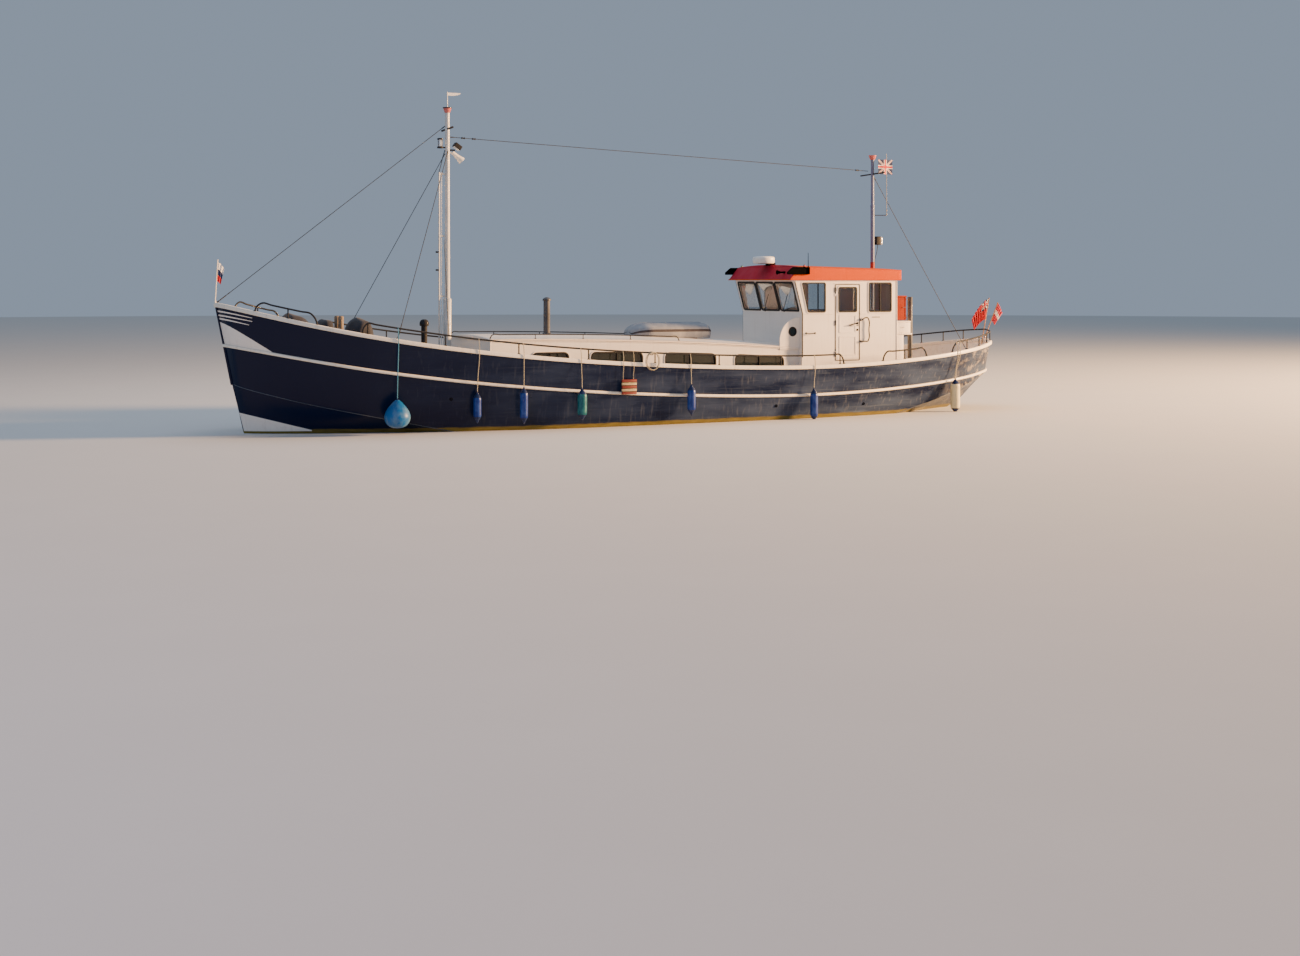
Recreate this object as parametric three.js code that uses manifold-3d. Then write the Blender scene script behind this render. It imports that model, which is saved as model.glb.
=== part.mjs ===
// A converted motor barge, afloat: hard-chine steel hull, long trunk cabin, wheelhouse aft, two masts.
// Millimetres. X runs aft, Y to starboard, Z up. The origin is amidships on the centreline, at the waterline.
import * as THREE from 'three';
import { mergeVertices } from 'three/addons/utils/BufferGeometryUtils.js';
import Module from 'manifold-3d';

const wasm = await Module();
wasm.setup();

// Driving dimensions
const GAP = 0.3;                 // between pieces that touch
const CLEAR = 5;                 // between pieces that move past each other
const SIDES = { port: -1, starboard: 1 };

const SHEER = {
  low: 1340, lowX: 3700, bowX: -10350, sternX: 10900, bowRise: 965, bowKick: 650, sternRise: 515,
};
const RAIL = { capHigh: 95, capOut: 35, capIn: -70, wall: 40, toe: 225, bowWall: 420, sternWall: 330 };
const STRAKE = { drop: 745, bowDrop: 210, sternDrop: 65, high: 70, out: 50 };
const PIPE = {
  r: 20, post: 14, high: 240, inset: 20, spacing: 1700, fwdX: -7350, aftX: 4760, sternX: 8600, roundX: 10740,
};
const KEEL = {
  bottom: -1300, half: 45, top: -1000, fwdX: -6200, toe: 400, toeZ: -1180, riseX: 5200, shoulderX: 6600,
  shoulderZ: -300, skegX: 8050, heelX: 9330, heelTop: -1235,
};
const SHAFT = { z: -810, r: 32, tubeR: 60, propX: 8390, propR: 350, hubR: 80, blades: 4 };
const RUDDER = { stockX: 8960, stockR: 35, foreX: 8790, aftX: 9420, top: -420, bottom: -1180, thick: 50 };
const TRUNK = {
  fwdX: -4250, aftX: 4079, half: 1350, wall: 40, edge: 2070, droop: 4.614e-6, slab: 40, camber: 80, over: 35,
  sill: 110, bandFwd: 345, bandAft: 255,
};
const HOUSE = {
  fwdX: 4080, aftX: 6950, half: 1500, wall: 45, sill: 2610, rakeX: 3850, top: 3440, floor: 1400, foot: 900,
};
const GLASS = {
  low: 2640, high: 3370, fwdX: 4255, postX: 4760, rakeX: 4080, aftX: [6085, 6760],
  pane: 430, panePitch: 950, paneLow: 2680, aftHalf: 500, doorX: [5165, 5700], doorHigh: 3255,
};
const ROOF = {
  fwdX: 3660, aftX: 7050, half: 1560, bottom: 3440.3, sideFwd: 3780, sideAft: 3700, crown: 60, lean: 300,
};
const DOME = { x: 3840, r: 285, low: 3870, high: 4062, footX: 3960, footAft: 4130, footHalf: 120 };
const HORN = { x: 3590, aftX: 3860, y: -1090, z: 3640, mouth: 60, neck: 22 };
const LIGHTS = { x: [3600, 4240], z: [3585, 3770], cutX: 3760, cutZ: 3645, out: 60 };
const WHIP = { x: 4205, top: 4130, r: 8 };
const DOOR = { fwdX: 5090, aftX: 5775, bottom: 1425, top: 3315, hinge: 12, knuckle: 60, leaf: 4 };
const WING = { inner: 1375, thick: 20, r: 570, low: 1700, arcZ: 1930, portX: 3880, portZ: 2150, portR: 100 };
const THROUGH = 9;               // how far a cutter reaches past a wall
const HELM = {
  x: 4800, z: 2060, rim: 360, tube: 16, hub: 45, spokes: 6,
  deskX: 4160, deskAft: 4640, deskTop: 2300, deskHalf: 650,
};
const MAST = {
  x: -4810, top: 7900, r: 66, stepTop: 3020, stepR: 95, arm: 7010, foot: 1400, head: 450, stays: 7090,
};
const AFT_MAST = { x: 7190, top: 6700, r: 52, cross: 6270, crossHalf: 560, lamp: 4380, foot: 1000, head: 0 };
const AERIAL = { x: 7530, y: -160, foot: 5160, top: 6815, r: 9, flagX: [7250, 7705], flagZ: [6262, 6652] };
const VENT = { x: -5670, y: -800, r: 70, neck: 2390, cowlR: 110, top: 2540 };
const BITTS = { x: -7450, half: 150, r: 65, top: 2620, bar: 2180, barHalf: 260, barR: 35 };
const HATCH = { x: -6350, half: 330, coaming: 170, wall: 30, lid: 35, over: 25 };
const STEP = { x: -1150, half: 190, low: 765, high: 1120 };
const STAFF = { footX: 10662, foot: 1150, headX: 11030, head: 2960, r: 14 };
const AFT_STAFF = { footX: 10880, headX: 11330, head: 2830, r: 12 };
const FLAG_HALF = 30;            // half the thickness of a gathered flag
const TENDER = { fwdX: -60, aftX: 2010, half: 560, rise: 50, top: 2390, chockXs: [300, 1600] };
const STOVE = { x: -2250, r: 80, top: 2960, capR: 105, capTop: 3030 };
const STACK = { x: 7630, y: -1100, r: 66, top: 3005 };
// The two lockers on the wheelhouse's aft wall, the white one on a shelf with a leg.
const LOCKERS = {
  y: -1450, orange: { aftX: 7290, inY: -1150, low: 2410, high: 3040 },
  white: { aftX: 7420, inY: -1000, low: 2070, high: 2385, legX: 7190, legY: -1250, over: 20, shelf: 40 },
};

// Hull lines, one row for each station from stem to stern.
// Columns: cap x and half-breadth, chine x, half-breadth and height, keel x and height.
const LINES = [
  [-10290, 0, -9920, 0, 1120, -9920, 1120],
  [-10190, 330, -9800, 190, 1060, -9790, 600],
  [-9960, 660, -9560, 400, 975, -9650, 0],
  [-9560, 1000, -9160, 680, 860, -9480, -450],
  [-8950, 1350, -8600, 960, 710, -9150, -850],
  [-8200, 1640, -7950, 1240, 560, -8550, -1060],
  [-7300, 1870, -7200, 1450, 400, -7700, -1120],
  [-6200, 2040, -6150, 1600, 180, -6400, -1140],
  [-5000, 2150, -5000, 1720, -60, -5000, -1150],
  [-3600, 2220, -3600, 1925, -330, -3600, -1150],
  [-2000, 2250, -2000, 2040, -540, -2000, -1150],
  [0, 2250, 0, 1990, -640, 0, -1150],
  [2000, 2250, 2000, 1910, -620, 2000, -1150],
  [4000, 2240, 4000, 1790, -500, 4000, -1130],
  [5500, 2180, 5500, 1660, -300, 5500, -1060],
  [7000, 2060, 7000, 1480, 20, 6900, -860],
  [8300, 1850, 8250, 1370, 330, 7900, -460],
  [9300, 1530, 9250, 1160, 600, 8800, -240],
  [10100, 1080, 10020, 840, 830, 9500, -40],
  [10620, 600, 10520, 480, 970, 10080, 260],
  [10900, 0, 10760, 0, 1040, 10760, 1040],
];

const clamp01 = (t) => Math.min(1, Math.max(0, t));
const smooth = (t) => clamp01(t) ** 2 * (3 - 2 * clamp01(t));
const mix = (a, b, t) => a + (b - a) * t;

// Heights along the boat
function capZ(x) {
  const aft = (x - SHEER.lowX) / (SHEER.sternX - SHEER.lowX);
  if (aft > 0) return SHEER.low + SHEER.sternRise * aft ** 2;
  const t = (SHEER.lowX - x) / (SHEER.lowX - SHEER.bowX);
  return SHEER.low + SHEER.bowRise * t ** 1.6 + SHEER.bowKick * t ** 4;
}

function deckZ(x) {
  const bow = RAIL.bowWall * smooth((-4500 - x) / 3500);
  const stern = RAIL.sternWall * smooth((x - 6950) / 1500);
  return capZ(x) - RAIL.toe - bow - stern;
}

function strakeZ(x) {
  const bow = x < 0 ? STRAKE.bowDrop * (x / -10300) ** 4 : 0;
  const stern = x > SHEER.lowX ? STRAKE.sternDrop * ((x - SHEER.lowX) / 7200) ** 2 : 0;
  return capZ(x) - STRAKE.drop - bow - stern;
}

const trunkEdge = (x) => TRUNK.edge - TRUNK.droop * (x - TRUNK.fwdX) ** 2;

// Solids
function solid(geometry) {
  geometry.deleteAttribute('normal');
  geometry.deleteAttribute('uv');
  const merged = mergeVertices(geometry, 1e-3);
  const p = merged.attributes.position.array;
  const index = merged.index.array;
  const faces = [];
  let volume = 0;
  for (let i = 0; i < index.length; i += 3) {
    const [a, b, c] = [index[i], index[i + 1], index[i + 2]];
    if (a === b || b === c || c === a) continue;
    faces.push([a, b, c]);
    const [ax, ay, az] = p.subarray(3 * a, 3 * a + 3);
    const [bx, by, bz] = p.subarray(3 * b, 3 * b + 3);
    const [cx, cy, cz] = p.subarray(3 * c, 3 * c + 3);
    volume += ax * (by * cz - bz * cy) + ay * (bz * cx - bx * cz) + az * (bx * cy - by * cx);
  }
  const triVerts = new Uint32Array(faces.flatMap(([a, b, c]) => (volume > 0 ? [a, b, c] : [a, c, b])));
  return new wasm.Manifold(new wasm.Mesh({ numProp: 3, vertProperties: new Float32Array(p), triVerts }));
}

function largest(body) {
  return body.decompose().reduce((best, piece) => (piece.volume() > best.volume() ? piece : best));
}

function cut(body, ...tools) {
  return largest(tools.reduce((rest, tool) => rest.subtract(tool), body));
}

const join = (...bodies) => bodies.reduce((all, body) => all.add(body));

function box(x0, x1, y0, y1, z0, z1) {
  const geometry = new THREE.BoxGeometry(x1 - x0, y1 - y0, z1 - z0);
  return solid(geometry.translate((x0 + x1) / 2, (y0 + y1) / 2, (z0 + z1) / 2));
}

// A rod between two points, round or tapered.
function rod(from, to, r0, sides = 10, r1 = r0) {
  const a = new THREE.Vector3(...from);
  const along = new THREE.Vector3(...to).sub(a);
  const geometry = new THREE.CylinderGeometry(r1, r0, along.length(), sides);
  geometry.rotateX(Math.PI / 2).translate(0, 0, along.length() / 2);
  const turn = new THREE.Quaternion().setFromUnitVectors(new THREE.Vector3(0, 0, 1), along.normalize());
  return solid(geometry.applyQuaternion(turn).translate(a.x, a.y, a.z));
}

// A turned body on an upright axis, from radius and height pairs.
function turned(pairs, x, y, sides = 14) {
  const geometry = new THREE.LatheGeometry(pairs.map(([r, z]) => new THREE.Vector2(r, z)), sides);
  return solid(geometry.rotateX(Math.PI / 2).translate(x, y, 0));
}

const shapeOf = (points) => new THREE.Shape(points.map(([u, v]) => new THREE.Vector2(u, v)));

// An outline in x and z, carried from y0 to y1.
function sidePlate(points, y0, y1) {
  const geometry = new THREE.ExtrudeGeometry(shapeOf(points), { depth: y1 - y0, bevelEnabled: false });
  return solid(geometry.rotateX(Math.PI / 2).translate(0, y1, 0));
}

// An outline in x and y, carried from z0 to z1.
function flatPlate(points, z0, z1) {
  const geometry = new THREE.ExtrudeGeometry(shapeOf(points), { depth: z1 - z0, bevelEnabled: false });
  return solid(geometry.translate(0, 0, z0));
}

function arc(cx, cy, r, from, to, steps) {
  const points = [];
  for (let i = 0; i <= steps; i += 1) {
    const a = THREE.MathUtils.degToRad(mix(from, to, i / steps));
    points.push([cx + r * Math.cos(a), cy + r * Math.sin(a)]);
  }
  return points;
}

// Rings of points joined one to the next, with flat ends.
function loft(rings) {
  const n = rings[0].length;
  const index = [];
  for (let i = 0; i + 1 < rings.length; i += 1) {
    for (let j = 0; j < n; j += 1) {
      const k = (j + 1) % n;
      const [a, b, c, d] = [i * n + j, i * n + k, (i + 1) * n + k, (i + 1) * n + j];
      index.push(a, b, c, a, c, d);
    }
  }
  const last = (rings.length - 1) * n;
  for (let j = 1; j + 1 < n; j += 1) {
    index.push(0, j + 1, j, last, last + j, last + j + 1);
  }
  const geometry = new THREE.BufferGeometry();
  geometry.setAttribute('position', new THREE.Float32BufferAttribute(rings.flat(2), 3));
  geometry.setIndex(index);
  return solid(geometry);
}

// A round bar bent along points.
function bentBar(points, r, steps, sides = 6) {
  const path = new THREE.CatmullRomCurve3(points.map((p) => new THREE.Vector3(...p)), false, 'centripetal');
  const ring = shapeOf(arc(0, 0, r, 0, 360 - 360 / sides, sides - 1));
  return solid(new THREE.ExtrudeGeometry(ring, { steps, extrudePath: path, bevelEnabled: false }));
}

// The hull's side is flat in section from chine to cap, so any level line lies on that slope.
function sidePoint(row, z) {
  const [capX, capY, chineX, chineY, chineZ] = row;
  const t = (z - chineZ) / (capZ(capX) - chineZ);
  return [mix(chineX, capX, t), mix(chineY, capY, t), z];
}

// The level line that a height function traces on one side, with its outward direction in plan.
function levelLine(height, side) {
  const points = LINES.map((row) => sidePoint(row, height(row[0])));
  return points.map(([x, y, z], i) => {
    if (i === 0 || i === points.length - 1) return { x, y: side * (GAP / 2), z, nx: i === 0 ? -1 : 1, ny: 0 };
    const dx = points[i + 1][0] - points[i - 1][0];
    const dy = points[i + 1][1] - points[i - 1][1];
    const long = Math.hypot(dx, dy);
    return { x, y: side * y, z, nx: -dy / long, ny: (side * dx) / long };
  });
}

// A belt round one side of the hull: an oblong section given by its offsets outward and its heights.
function belt(side, low, high, inner, outer) {
  const bottom = levelLine(low, side);
  const top = levelLine(high, side);
  const corner = (p, out) => [p.x + p.nx * out, p.y + p.ny * out, p.z];
  return loft(bottom.map((b, i) => [
    corner(b, inner), corner(b, outer), corner(top[i], outer), corner(top[i], inner),
  ]));
}

// The decked hull, whole below the water; grow makes it larger all round, to cut what rests on it.
function hullBody(grow) {
  const deck = [levelLine(deckZ, -1), levelLine(deckZ, 1)];
  const rings = LINES.map(([, , chineX, chineY, chineZ, keelX, keelZ], i) => {
    const end = i === 0 ? -1 : Number(i === LINES.length - 1);
    const x = chineX + end * grow;
    const y = end ? 0 : chineY + grow;
    const edge = (p) => [p.x + p.nx * grow, end ? 0 : p.y + p.ny * grow, p.z + grow];
    return [
      [keelX + end * grow, 0, keelZ - grow], [x, -y, chineZ - grow],
      edge(deck[0][i]), edge(deck[1][i]), [x, y, chineZ - grow],
    ];
  });
  return loft(rings);
}

const hull = hullBody(0);
const hullTool = hullBody(GAP);

// The cap rail, and the same belt grown all round, to cut what reaches it.
const capLow = (x) => capZ(x) - RAIL.capHigh;
const capRail = (side, grow) => belt(
  side, (x) => capLow(x) - grow, (x) => capZ(x) + grow, RAIL.capIn - grow, RAIL.capOut + grow,
);
const capTools = { port: capRail(-1, GAP), starboard: capRail(1, GAP) };
const onCap = (body) => cut(body, capTools.port, capTools.starboard);

// Scene graph
const boat = new THREE.Group();

function paint(colour, roughness = 0.5, metalness = 0) {
  return new THREE.MeshStandardMaterial({ color: colour, roughness, metalness });
}

const PAINT = {
  navy: paint('#111b2c', 0.35), cream: paint('#f2e9da', 0.4), white: paint('#f1e6d6', 0.4),
  orange: paint('#e4602a', 0.45), black: paint('#1f1c20', 0.5), grey: paint('#b9b6ae', 0.5),
  deck: paint('#8c8d88', 0.8), bronze: paint('#8f6a35', 0.3, 0.9), antifoul: paint('#3a2320', 0.8),
  wire: paint('#6b6a68', 0.4, 0.8), wood: paint('#7a4a28', 0.6), blue: paint('#1d5fa8', 0.4),
  teal: paint('#1f8a86', 0.4), buff: paint('#d8cfa8', 0.5), sky: paint('#2b8cc4', 0.4),
  canvas: paint('#3b3a3f', 0.9), tender: paint('#7e8ea6', 0.6), salmon: paint('#e07a5a', 0.6),
  red: paint('#b3282c', 0.8),
};

function add(name, body, material, parent = boat) {
  const { numProp, vertProperties, triVerts } = body.getMesh();
  const position = new Float32Array((vertProperties.length / numProp) * 3);
  for (let i = 0; i < position.length / 3; i += 1) {
    position.set(vertProperties.subarray(i * numProp, i * numProp + 3), i * 3);
  }
  const geometry = new THREE.BufferGeometry();
  geometry.setAttribute('position', new THREE.BufferAttribute(position, 3));
  geometry.setIndex(new THREE.BufferAttribute(new Uint32Array(triVerts), 1));
  geometry.computeVertexNormals();
  const mesh = new THREE.Mesh(geometry, material);
  mesh.name = name;
  parent.add(mesh);
}

// Underwater gear
function keel() {
  const bar = sidePlate([
    [KEEL.fwdX, KEEL.top], [KEEL.fwdX, KEEL.toeZ], [KEEL.fwdX + KEEL.toe, KEEL.bottom],
    [KEEL.heelX, KEEL.bottom], [KEEL.heelX, KEEL.heelTop], [KEEL.skegX, KEEL.heelTop],
    [KEEL.skegX, KEEL.shoulderZ],
    [KEEL.shoulderX, KEEL.shoulderZ], [KEEL.riseX, KEEL.top],
  ], -KEEL.half, KEEL.half);
  const tube = rod([7000, 0, SHAFT.z], [KEEL.skegX + 90, 0, SHAFT.z], SHAFT.tubeR, 14);
  const bore = rod([KEEL.skegX - 60, 0, SHAFT.z], [KEEL.skegX + 91, 0, SHAFT.z], SHAFT.r + 0.6, 20);
  return cut(join(bar, tube), bore, hullTool);
}

// Each blade is a twisted plate lofted outward from the hub.
function propeller() {
  const start = KEEL.skegX - 50;
  let body = join(
    rod([start, 0, SHAFT.z], [SHAFT.propX + 20, 0, SHAFT.z], SHAFT.r, 20),
    rod([SHAFT.propX - 70, 0, SHAFT.z], [SHAFT.propX + 100, 0, SHAFT.z], SHAFT.hubR, 14, 45),
  );
  // Radius, half chord and pitch angle in degrees.
  const sections = [[50, 90, 58], [160, 135, 40], [280, 140, 28], [SHAFT.propR, 60, 22]];
  for (let b = 0; b < SHAFT.blades; b += 1) {
    const turn = (b / SHAFT.blades) * 2 * Math.PI;
    const rings = sections.map(([r, chord, pitch]) => {
      const a = THREE.MathUtils.degToRad(pitch);
      return [[-1, 0], [0, -1], [1, 0], [0, 1]].map(([u, v]) => {
        const across = u * chord * Math.cos(a) - v * 9 * Math.sin(a);
        const along = u * chord * Math.sin(a) + v * 9 * Math.cos(a);
        return [
          SHAFT.propX + along,
          r * Math.cos(turn) - across * Math.sin(turn),
          SHAFT.z + r * Math.sin(turn) + across * Math.cos(turn),
        ];
      });
    });
    body = body.add(loft(rings));
  }
  return body;
}

function rudder() {
  const { stockX, stockR, foreX, aftX, top, bottom, thick } = RUDDER;
  const blade = flatPlate([
    [foreX, -8], [foreX, 8], [stockX - 60, thick / 2], [stockX + 60, thick / 2], [aftX, 6], [aftX, -6],
    [stockX + 60, -thick / 2], [stockX - 60, -thick / 2],
  ], bottom, top);
  const stock = rod([stockX, 0, KEEL.heelTop + GAP], [stockX, 0, -245], stockR, 16);
  return join(blade, stock);
}

function rudderTrunk() {
  const { stockX, stockR, top } = RUDDER;
  const collar = rod([stockX, 0, top + 25], [stockX, 0, -100], stockR + 35, 16);
  return cut(collar, rod([stockX, 0, top], [stockX, 0, -240], stockR + 2, 16), hullTool);
}

// Bulwarks, cap rails and rubbing strakes
function addSide(name) {
  const side = SIDES[name];
  const wall = belt(side, (x) => deckZ(x) - 8, (x) => capLow(x) + 25, -RAIL.wall, 0);
  const half = STRAKE.high / 2;
  const strake = belt(side, (x) => strakeZ(x) - half, (x) => strakeZ(x) + half, -25, STRAKE.out);
  add(`bulwark_${name}`, cut(wall, hullTool, capTools[name]), PAINT.navy);
  add(`cap_rail_${name}`, capRail(side, 0), PAINT.cream);
  add(`strake_${name}`, cut(strake, hullTool), PAINT.cream);
}

// A point above the cap rail, a little inboard of the hull's edge.
function railPoint(x, side, up) {
  const i = LINES.findIndex((row) => row[0] > x);
  const [a, b] = [LINES[i - 1], LINES[i]];
  return [x, side * (mix(a[1], b[1], (x - a[0]) / (b[0] - a[0])) - PIPE.inset), capZ(x) + up];
}

function sideRail(side) {
  const count = Math.round((PIPE.aftX - PIPE.fwdX) / PIPE.spacing);
  const posts = [];
  const run = [];
  for (let i = 0; i <= count; i += 1) {
    const x = mix(PIPE.fwdX, PIPE.aftX, i / count);
    run.push(railPoint(x, side, PIPE.high));
    posts.push(rod(railPoint(x, side, GAP), railPoint(x, side, PIPE.high), PIPE.post, 6));
  }
  return join(bentBar(run, PIPE.r, 14), ...posts);
}

function sternRail() {
  const xs = [PIPE.sternX, 9300, 10000, 10500];
  const port = xs.map((x) => railPoint(x, -1, PIPE.high));
  const starboard = xs.map((x) => railPoint(x, 1, PIPE.high)).reverse();
  const foot = GAP + 4;
  const aft = [PIPE.roundX, 0, capZ(PIPE.roundX) + PIPE.high];
  const posts = xs.flatMap((x) => [-1, 1].map(
    (s) => rod(railPoint(x, s, foot), railPoint(x, s, PIPE.high), PIPE.post, 6),
  ));
  posts.push(rod([PIPE.roundX, 0, capZ(PIPE.roundX) + foot], aft, PIPE.post, 6));
  return join(bentBar([...port, aft, ...starboard], PIPE.r, 20), ...posts);
}

// Trunk cabin
const TRUNK_STATIONS = [TRUNK.fwdX, -2300, -400, 1500, 2900, TRUNK.aftX];
// Windows: forward x, aft x.
const TRUNK_WINDOWS = [[-3200, -2280], [-1680, -330], [300, 1680], [2240, 3620]];
const bandZ = (x) => (
  trunkEdge(x) - mix(TRUNK.bandFwd, TRUNK.bandAft, (x - TRUNK.fwdX) / (TRUNK.aftX - TRUNK.fwdX))
);

function trunkSide(side) {
  const top = TRUNK_STATIONS.map((x) => [x, trunkEdge(x) - TRUNK.slab - GAP]).reverse();
  const outline = [[TRUNK.fwdX, HOUSE.foot], [TRUNK.aftX, HOUSE.foot], ...top];
  const y = [side * TRUNK.half, side * (TRUNK.half - TRUNK.wall)].sort((a, b) => a - b);
  const panel = sidePlate(outline, y[0], y[1]);
  const windows = TRUNK_WINDOWS.map(([x0, x1]) => sidePlate(
    [[x0, deckZ(x0) + TRUNK.sill], [x1, deckZ(x1) + TRUNK.sill], [x1, bandZ(x1)], [x0, bandZ(x0)]],
    y[0] - THROUGH, y[1] + THROUGH,
  ));
  return cut(panel, hullTool, ...windows);
}

function trunkFront() {
  const y = TRUNK.half - TRUNK.wall - GAP;
  const top = trunkEdge(TRUNK.fwdX) - TRUNK.slab - 1;
  const panel = box(TRUNK.fwdX, TRUNK.fwdX + TRUNK.wall, -y, y, HOUSE.foot, top);
  return cut(panel, hullTool);
}

// Handrails on the trunk's roof: where their posts stand, inset from the edge, height and radii.
const HANDRAIL = { xs: [-4150, -3110, -1880, -630, 590], inset: 70, high: 110, r: 14, post: 10 };

function trunkRoof() {
  const half = TRUNK.half + TRUNK.over;
  const fwd = TRUNK.fwdX - TRUNK.over;
  const rings = [fwd, ...TRUNK_STATIONS].map((x) => {
    const z = trunkEdge(Math.max(x, TRUNK.fwdX));
    const shoulder = z + 0.75 * TRUNK.camber;
    return [
      [x, -half, z - TRUNK.slab], [x, half, z - TRUNK.slab], [x, half, z],
      [x, half / 2, shoulder], [x, 0, z + TRUNK.camber], [x, -half / 2, shoulder], [x, -half, z],
    ];
  });
  let roof = loft(rings);
  for (const side of [-1, 1]) {
    const { xs, inset, high, r, post } = HANDRAIL;
    const at = (x, up) => [x, side * (half - inset), trunkEdge(x) + up];
    const posts = xs.map((x) => rod(at(x, -15), at(x, high), post, 6));
    roof = join(roof, bentBar(xs.map((x) => at(x, high)), r, 10), ...posts);
  }
  return roof;
}

// Wheelhouse
const KNUCKLES = [1640, 2370, 3100];

function houseSide(side) {
  const { fwdX, aftX, half, wall, sill, rakeX, top } = HOUSE;
  const outer = side * half;
  const y = [outer, side * (half - wall)].sort((a, b) => a - b);
  const outline = [[fwdX, HOUSE.foot], [aftX, HOUSE.foot], [aftX, top], [rakeX, top], [fwdX, sill]];
  const [low, high] = [y[0] - THROUGH, y[1] + THROUGH];
  const doorway = box(DOOR.fwdX - CLEAR, DOOR.aftX + CLEAR, low, high, DOOR.bottom - CLEAR, DOOR.top + CLEAR);
  const forward = sidePlate([
    [GLASS.fwdX, GLASS.low], [GLASS.postX, GLASS.low], [GLASS.postX, GLASS.high], [GLASS.rakeX, GLASS.high],
  ], low, high);
  const aft = box(GLASS.aftX[0], GLASS.aftX[1], low, high, GLASS.low, GLASS.high);
  let body = cut(sidePlate(outline, y[0], y[1]), hullTool, doorway, forward, aft);
  for (const z of KNUCKLES) body = join(body, ...knuckle(side, z, -1));
  return body;
}

// Half a hinge: a barrel on the pin line and the leaf that carries it, on the wall (-1) or the door (1).
function knuckle(side, z, part) {
  const pinX = DOOR.fwdX - CLEAR / 2;
  const pinY = side * (HOUSE.half + DOOR.hinge);
  const low = part < 0 ? z - DOOR.knuckle : z + GAP;
  const high = low + DOOR.knuckle;
  const ys = [side * (HOUSE.half - 1), pinY].sort((a, b) => a - b);
  const xs = [pinX, pinX + part * 50].sort((a, b) => a - b);
  return [
    rod([pinX, pinY, low], [pinX, pinY, high], 10, 12),
    box(xs[0], xs[1], pinY - DOOR.leaf / 2, pinY + DOOR.leaf / 2, low + 5, high - 5),
    box(pinX + part * 25 - 12, pinX + part * 25 + 12, ys[0], ys[1], low + 5, high - 5),
  ];
}

// A door's handle: a stub at x and a flat lever that points forward.
const HANDLE = { x: 5690, z: 2300, r: 12, out: 45, lever: 130 };

function door(side) {
  const y = [side * HOUSE.half, side * (HOUSE.half - HOUSE.wall)].sort((a, b) => a - b);
  const { x, z, r, out, lever } = HANDLE;
  const [glassFwd, glassAft] = GLASS.doorX;
  const glass = box(glassFwd, glassAft, y[0] - THROUGH, y[1] + THROUGH, GLASS.low, GLASS.doorHigh);
  const ys = [side * (HOUSE.half + out - 5), side * (HOUSE.half + out + 10)].sort((a, b) => a - b);
  const handle = join(
    rod([x, side * (HOUSE.half - 9), z], [x, side * (HOUSE.half + out), z], r, 8),
    box(x - lever, x + 15, ys[0], ys[1], z - r, z + r),
  );
  let body = join(cut(box(DOOR.fwdX, DOOR.aftX, y[0], y[1], DOOR.bottom, DOOR.top), glass), handle);
  for (const z of KNUCKLES) body = join(body, ...knuckle(side, z, 1));
  return body;
}

function houseFront() {
  const { fwdX, half, wall, sill, rakeX, top } = HOUSE;
  const y = half - wall - GAP;
  const panel = sidePlate([
    [fwdX, HOUSE.foot], [fwdX + wall, HOUSE.foot], [fwdX + wall, sill],
    [rakeX + wall, top], [rakeX, top], [fwdX, sill],
  ], -y, y);
  const panes = [-1, 0, 1].map((i) => i * GLASS.panePitch).map((mid) => box(
    rakeX - wall, fwdX + 2 * wall, mid - GLASS.pane, mid + GLASS.pane, GLASS.paneLow, GLASS.high,
  ));
  return cut(panel, hullTool, ...panes);
}

function houseAft() {
  const y = HOUSE.half - HOUSE.wall - GAP;
  const { aftX, wall, foot, top } = HOUSE;
  const window = box(aftX - 2 * wall, aftX + wall, -GLASS.aftHalf, GLASS.aftHalf, GLASS.low, GLASS.high);
  return cut(box(aftX - wall, aftX, -y, y, foot, top), hullTool, window);
}

// The floor with the helm desk that stands on it, and the stub of the wheel's shaft.
function houseFloor() {
  const { deskX, deskAft, deskTop, deskHalf, x, z } = HELM;
  const edge = HOUSE.wall + GAP;
  const y = HOUSE.half - edge;
  const floor = box(HOUSE.fwdX + edge, HOUSE.aftX - edge, -y, y, HOUSE.foot, HOUSE.floor);
  const desk = sidePlate([
    [deskX, HOUSE.floor - 1], [deskAft, HOUSE.floor - 1], [deskAft, deskTop - 130], [deskX, deskTop],
  ], -deskHalf, deskHalf);
  const shaft = rod([deskAft - 30, 0, z], [x - 45 - GAP, 0, z], 38, 12);
  return cut(join(floor, desk, shaft), hullTool);
}

// The visor roof: a deep band whose front leans back as it rises, with a closed radar dome and a horn on it.
function houseRoof() {
  const { fwdX, aftX, half, bottom, sideFwd, sideAft, crown, lean } = ROOF;
  const section = (low, high, side) => [
    [low, -half, bottom], [low, half, bottom], [high, half, side], [high, half / 2, side + 0.8 * crown],
    [high, 0, side + crown], [high, -half / 2, side + 0.8 * crown], [high, -half, side],
  ];
  const body = loft([section(fwdX, fwdX + lean, sideFwd), section(aftX, aftX, sideAft)]);
  const { x, r, low, high, footX, footAft, footHalf } = DOME;
  const profile = [[0, low], [0.8 * r, low], [r, low + 40], [r, high - 55], [0.82 * r, high - 10], [0, high]];
  const dome = turned(profile, x, 0);
  const foot = box(footX, footAft, -footHalf, footHalf, sideFwd, low + 30);
  const horn = rod([HORN.x, HORN.y, HORN.z], [HORN.aftX, HORN.y, HORN.z], HORN.mouth, 12, HORN.neck);
  return join(body, dome, foot, horn);
}

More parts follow.
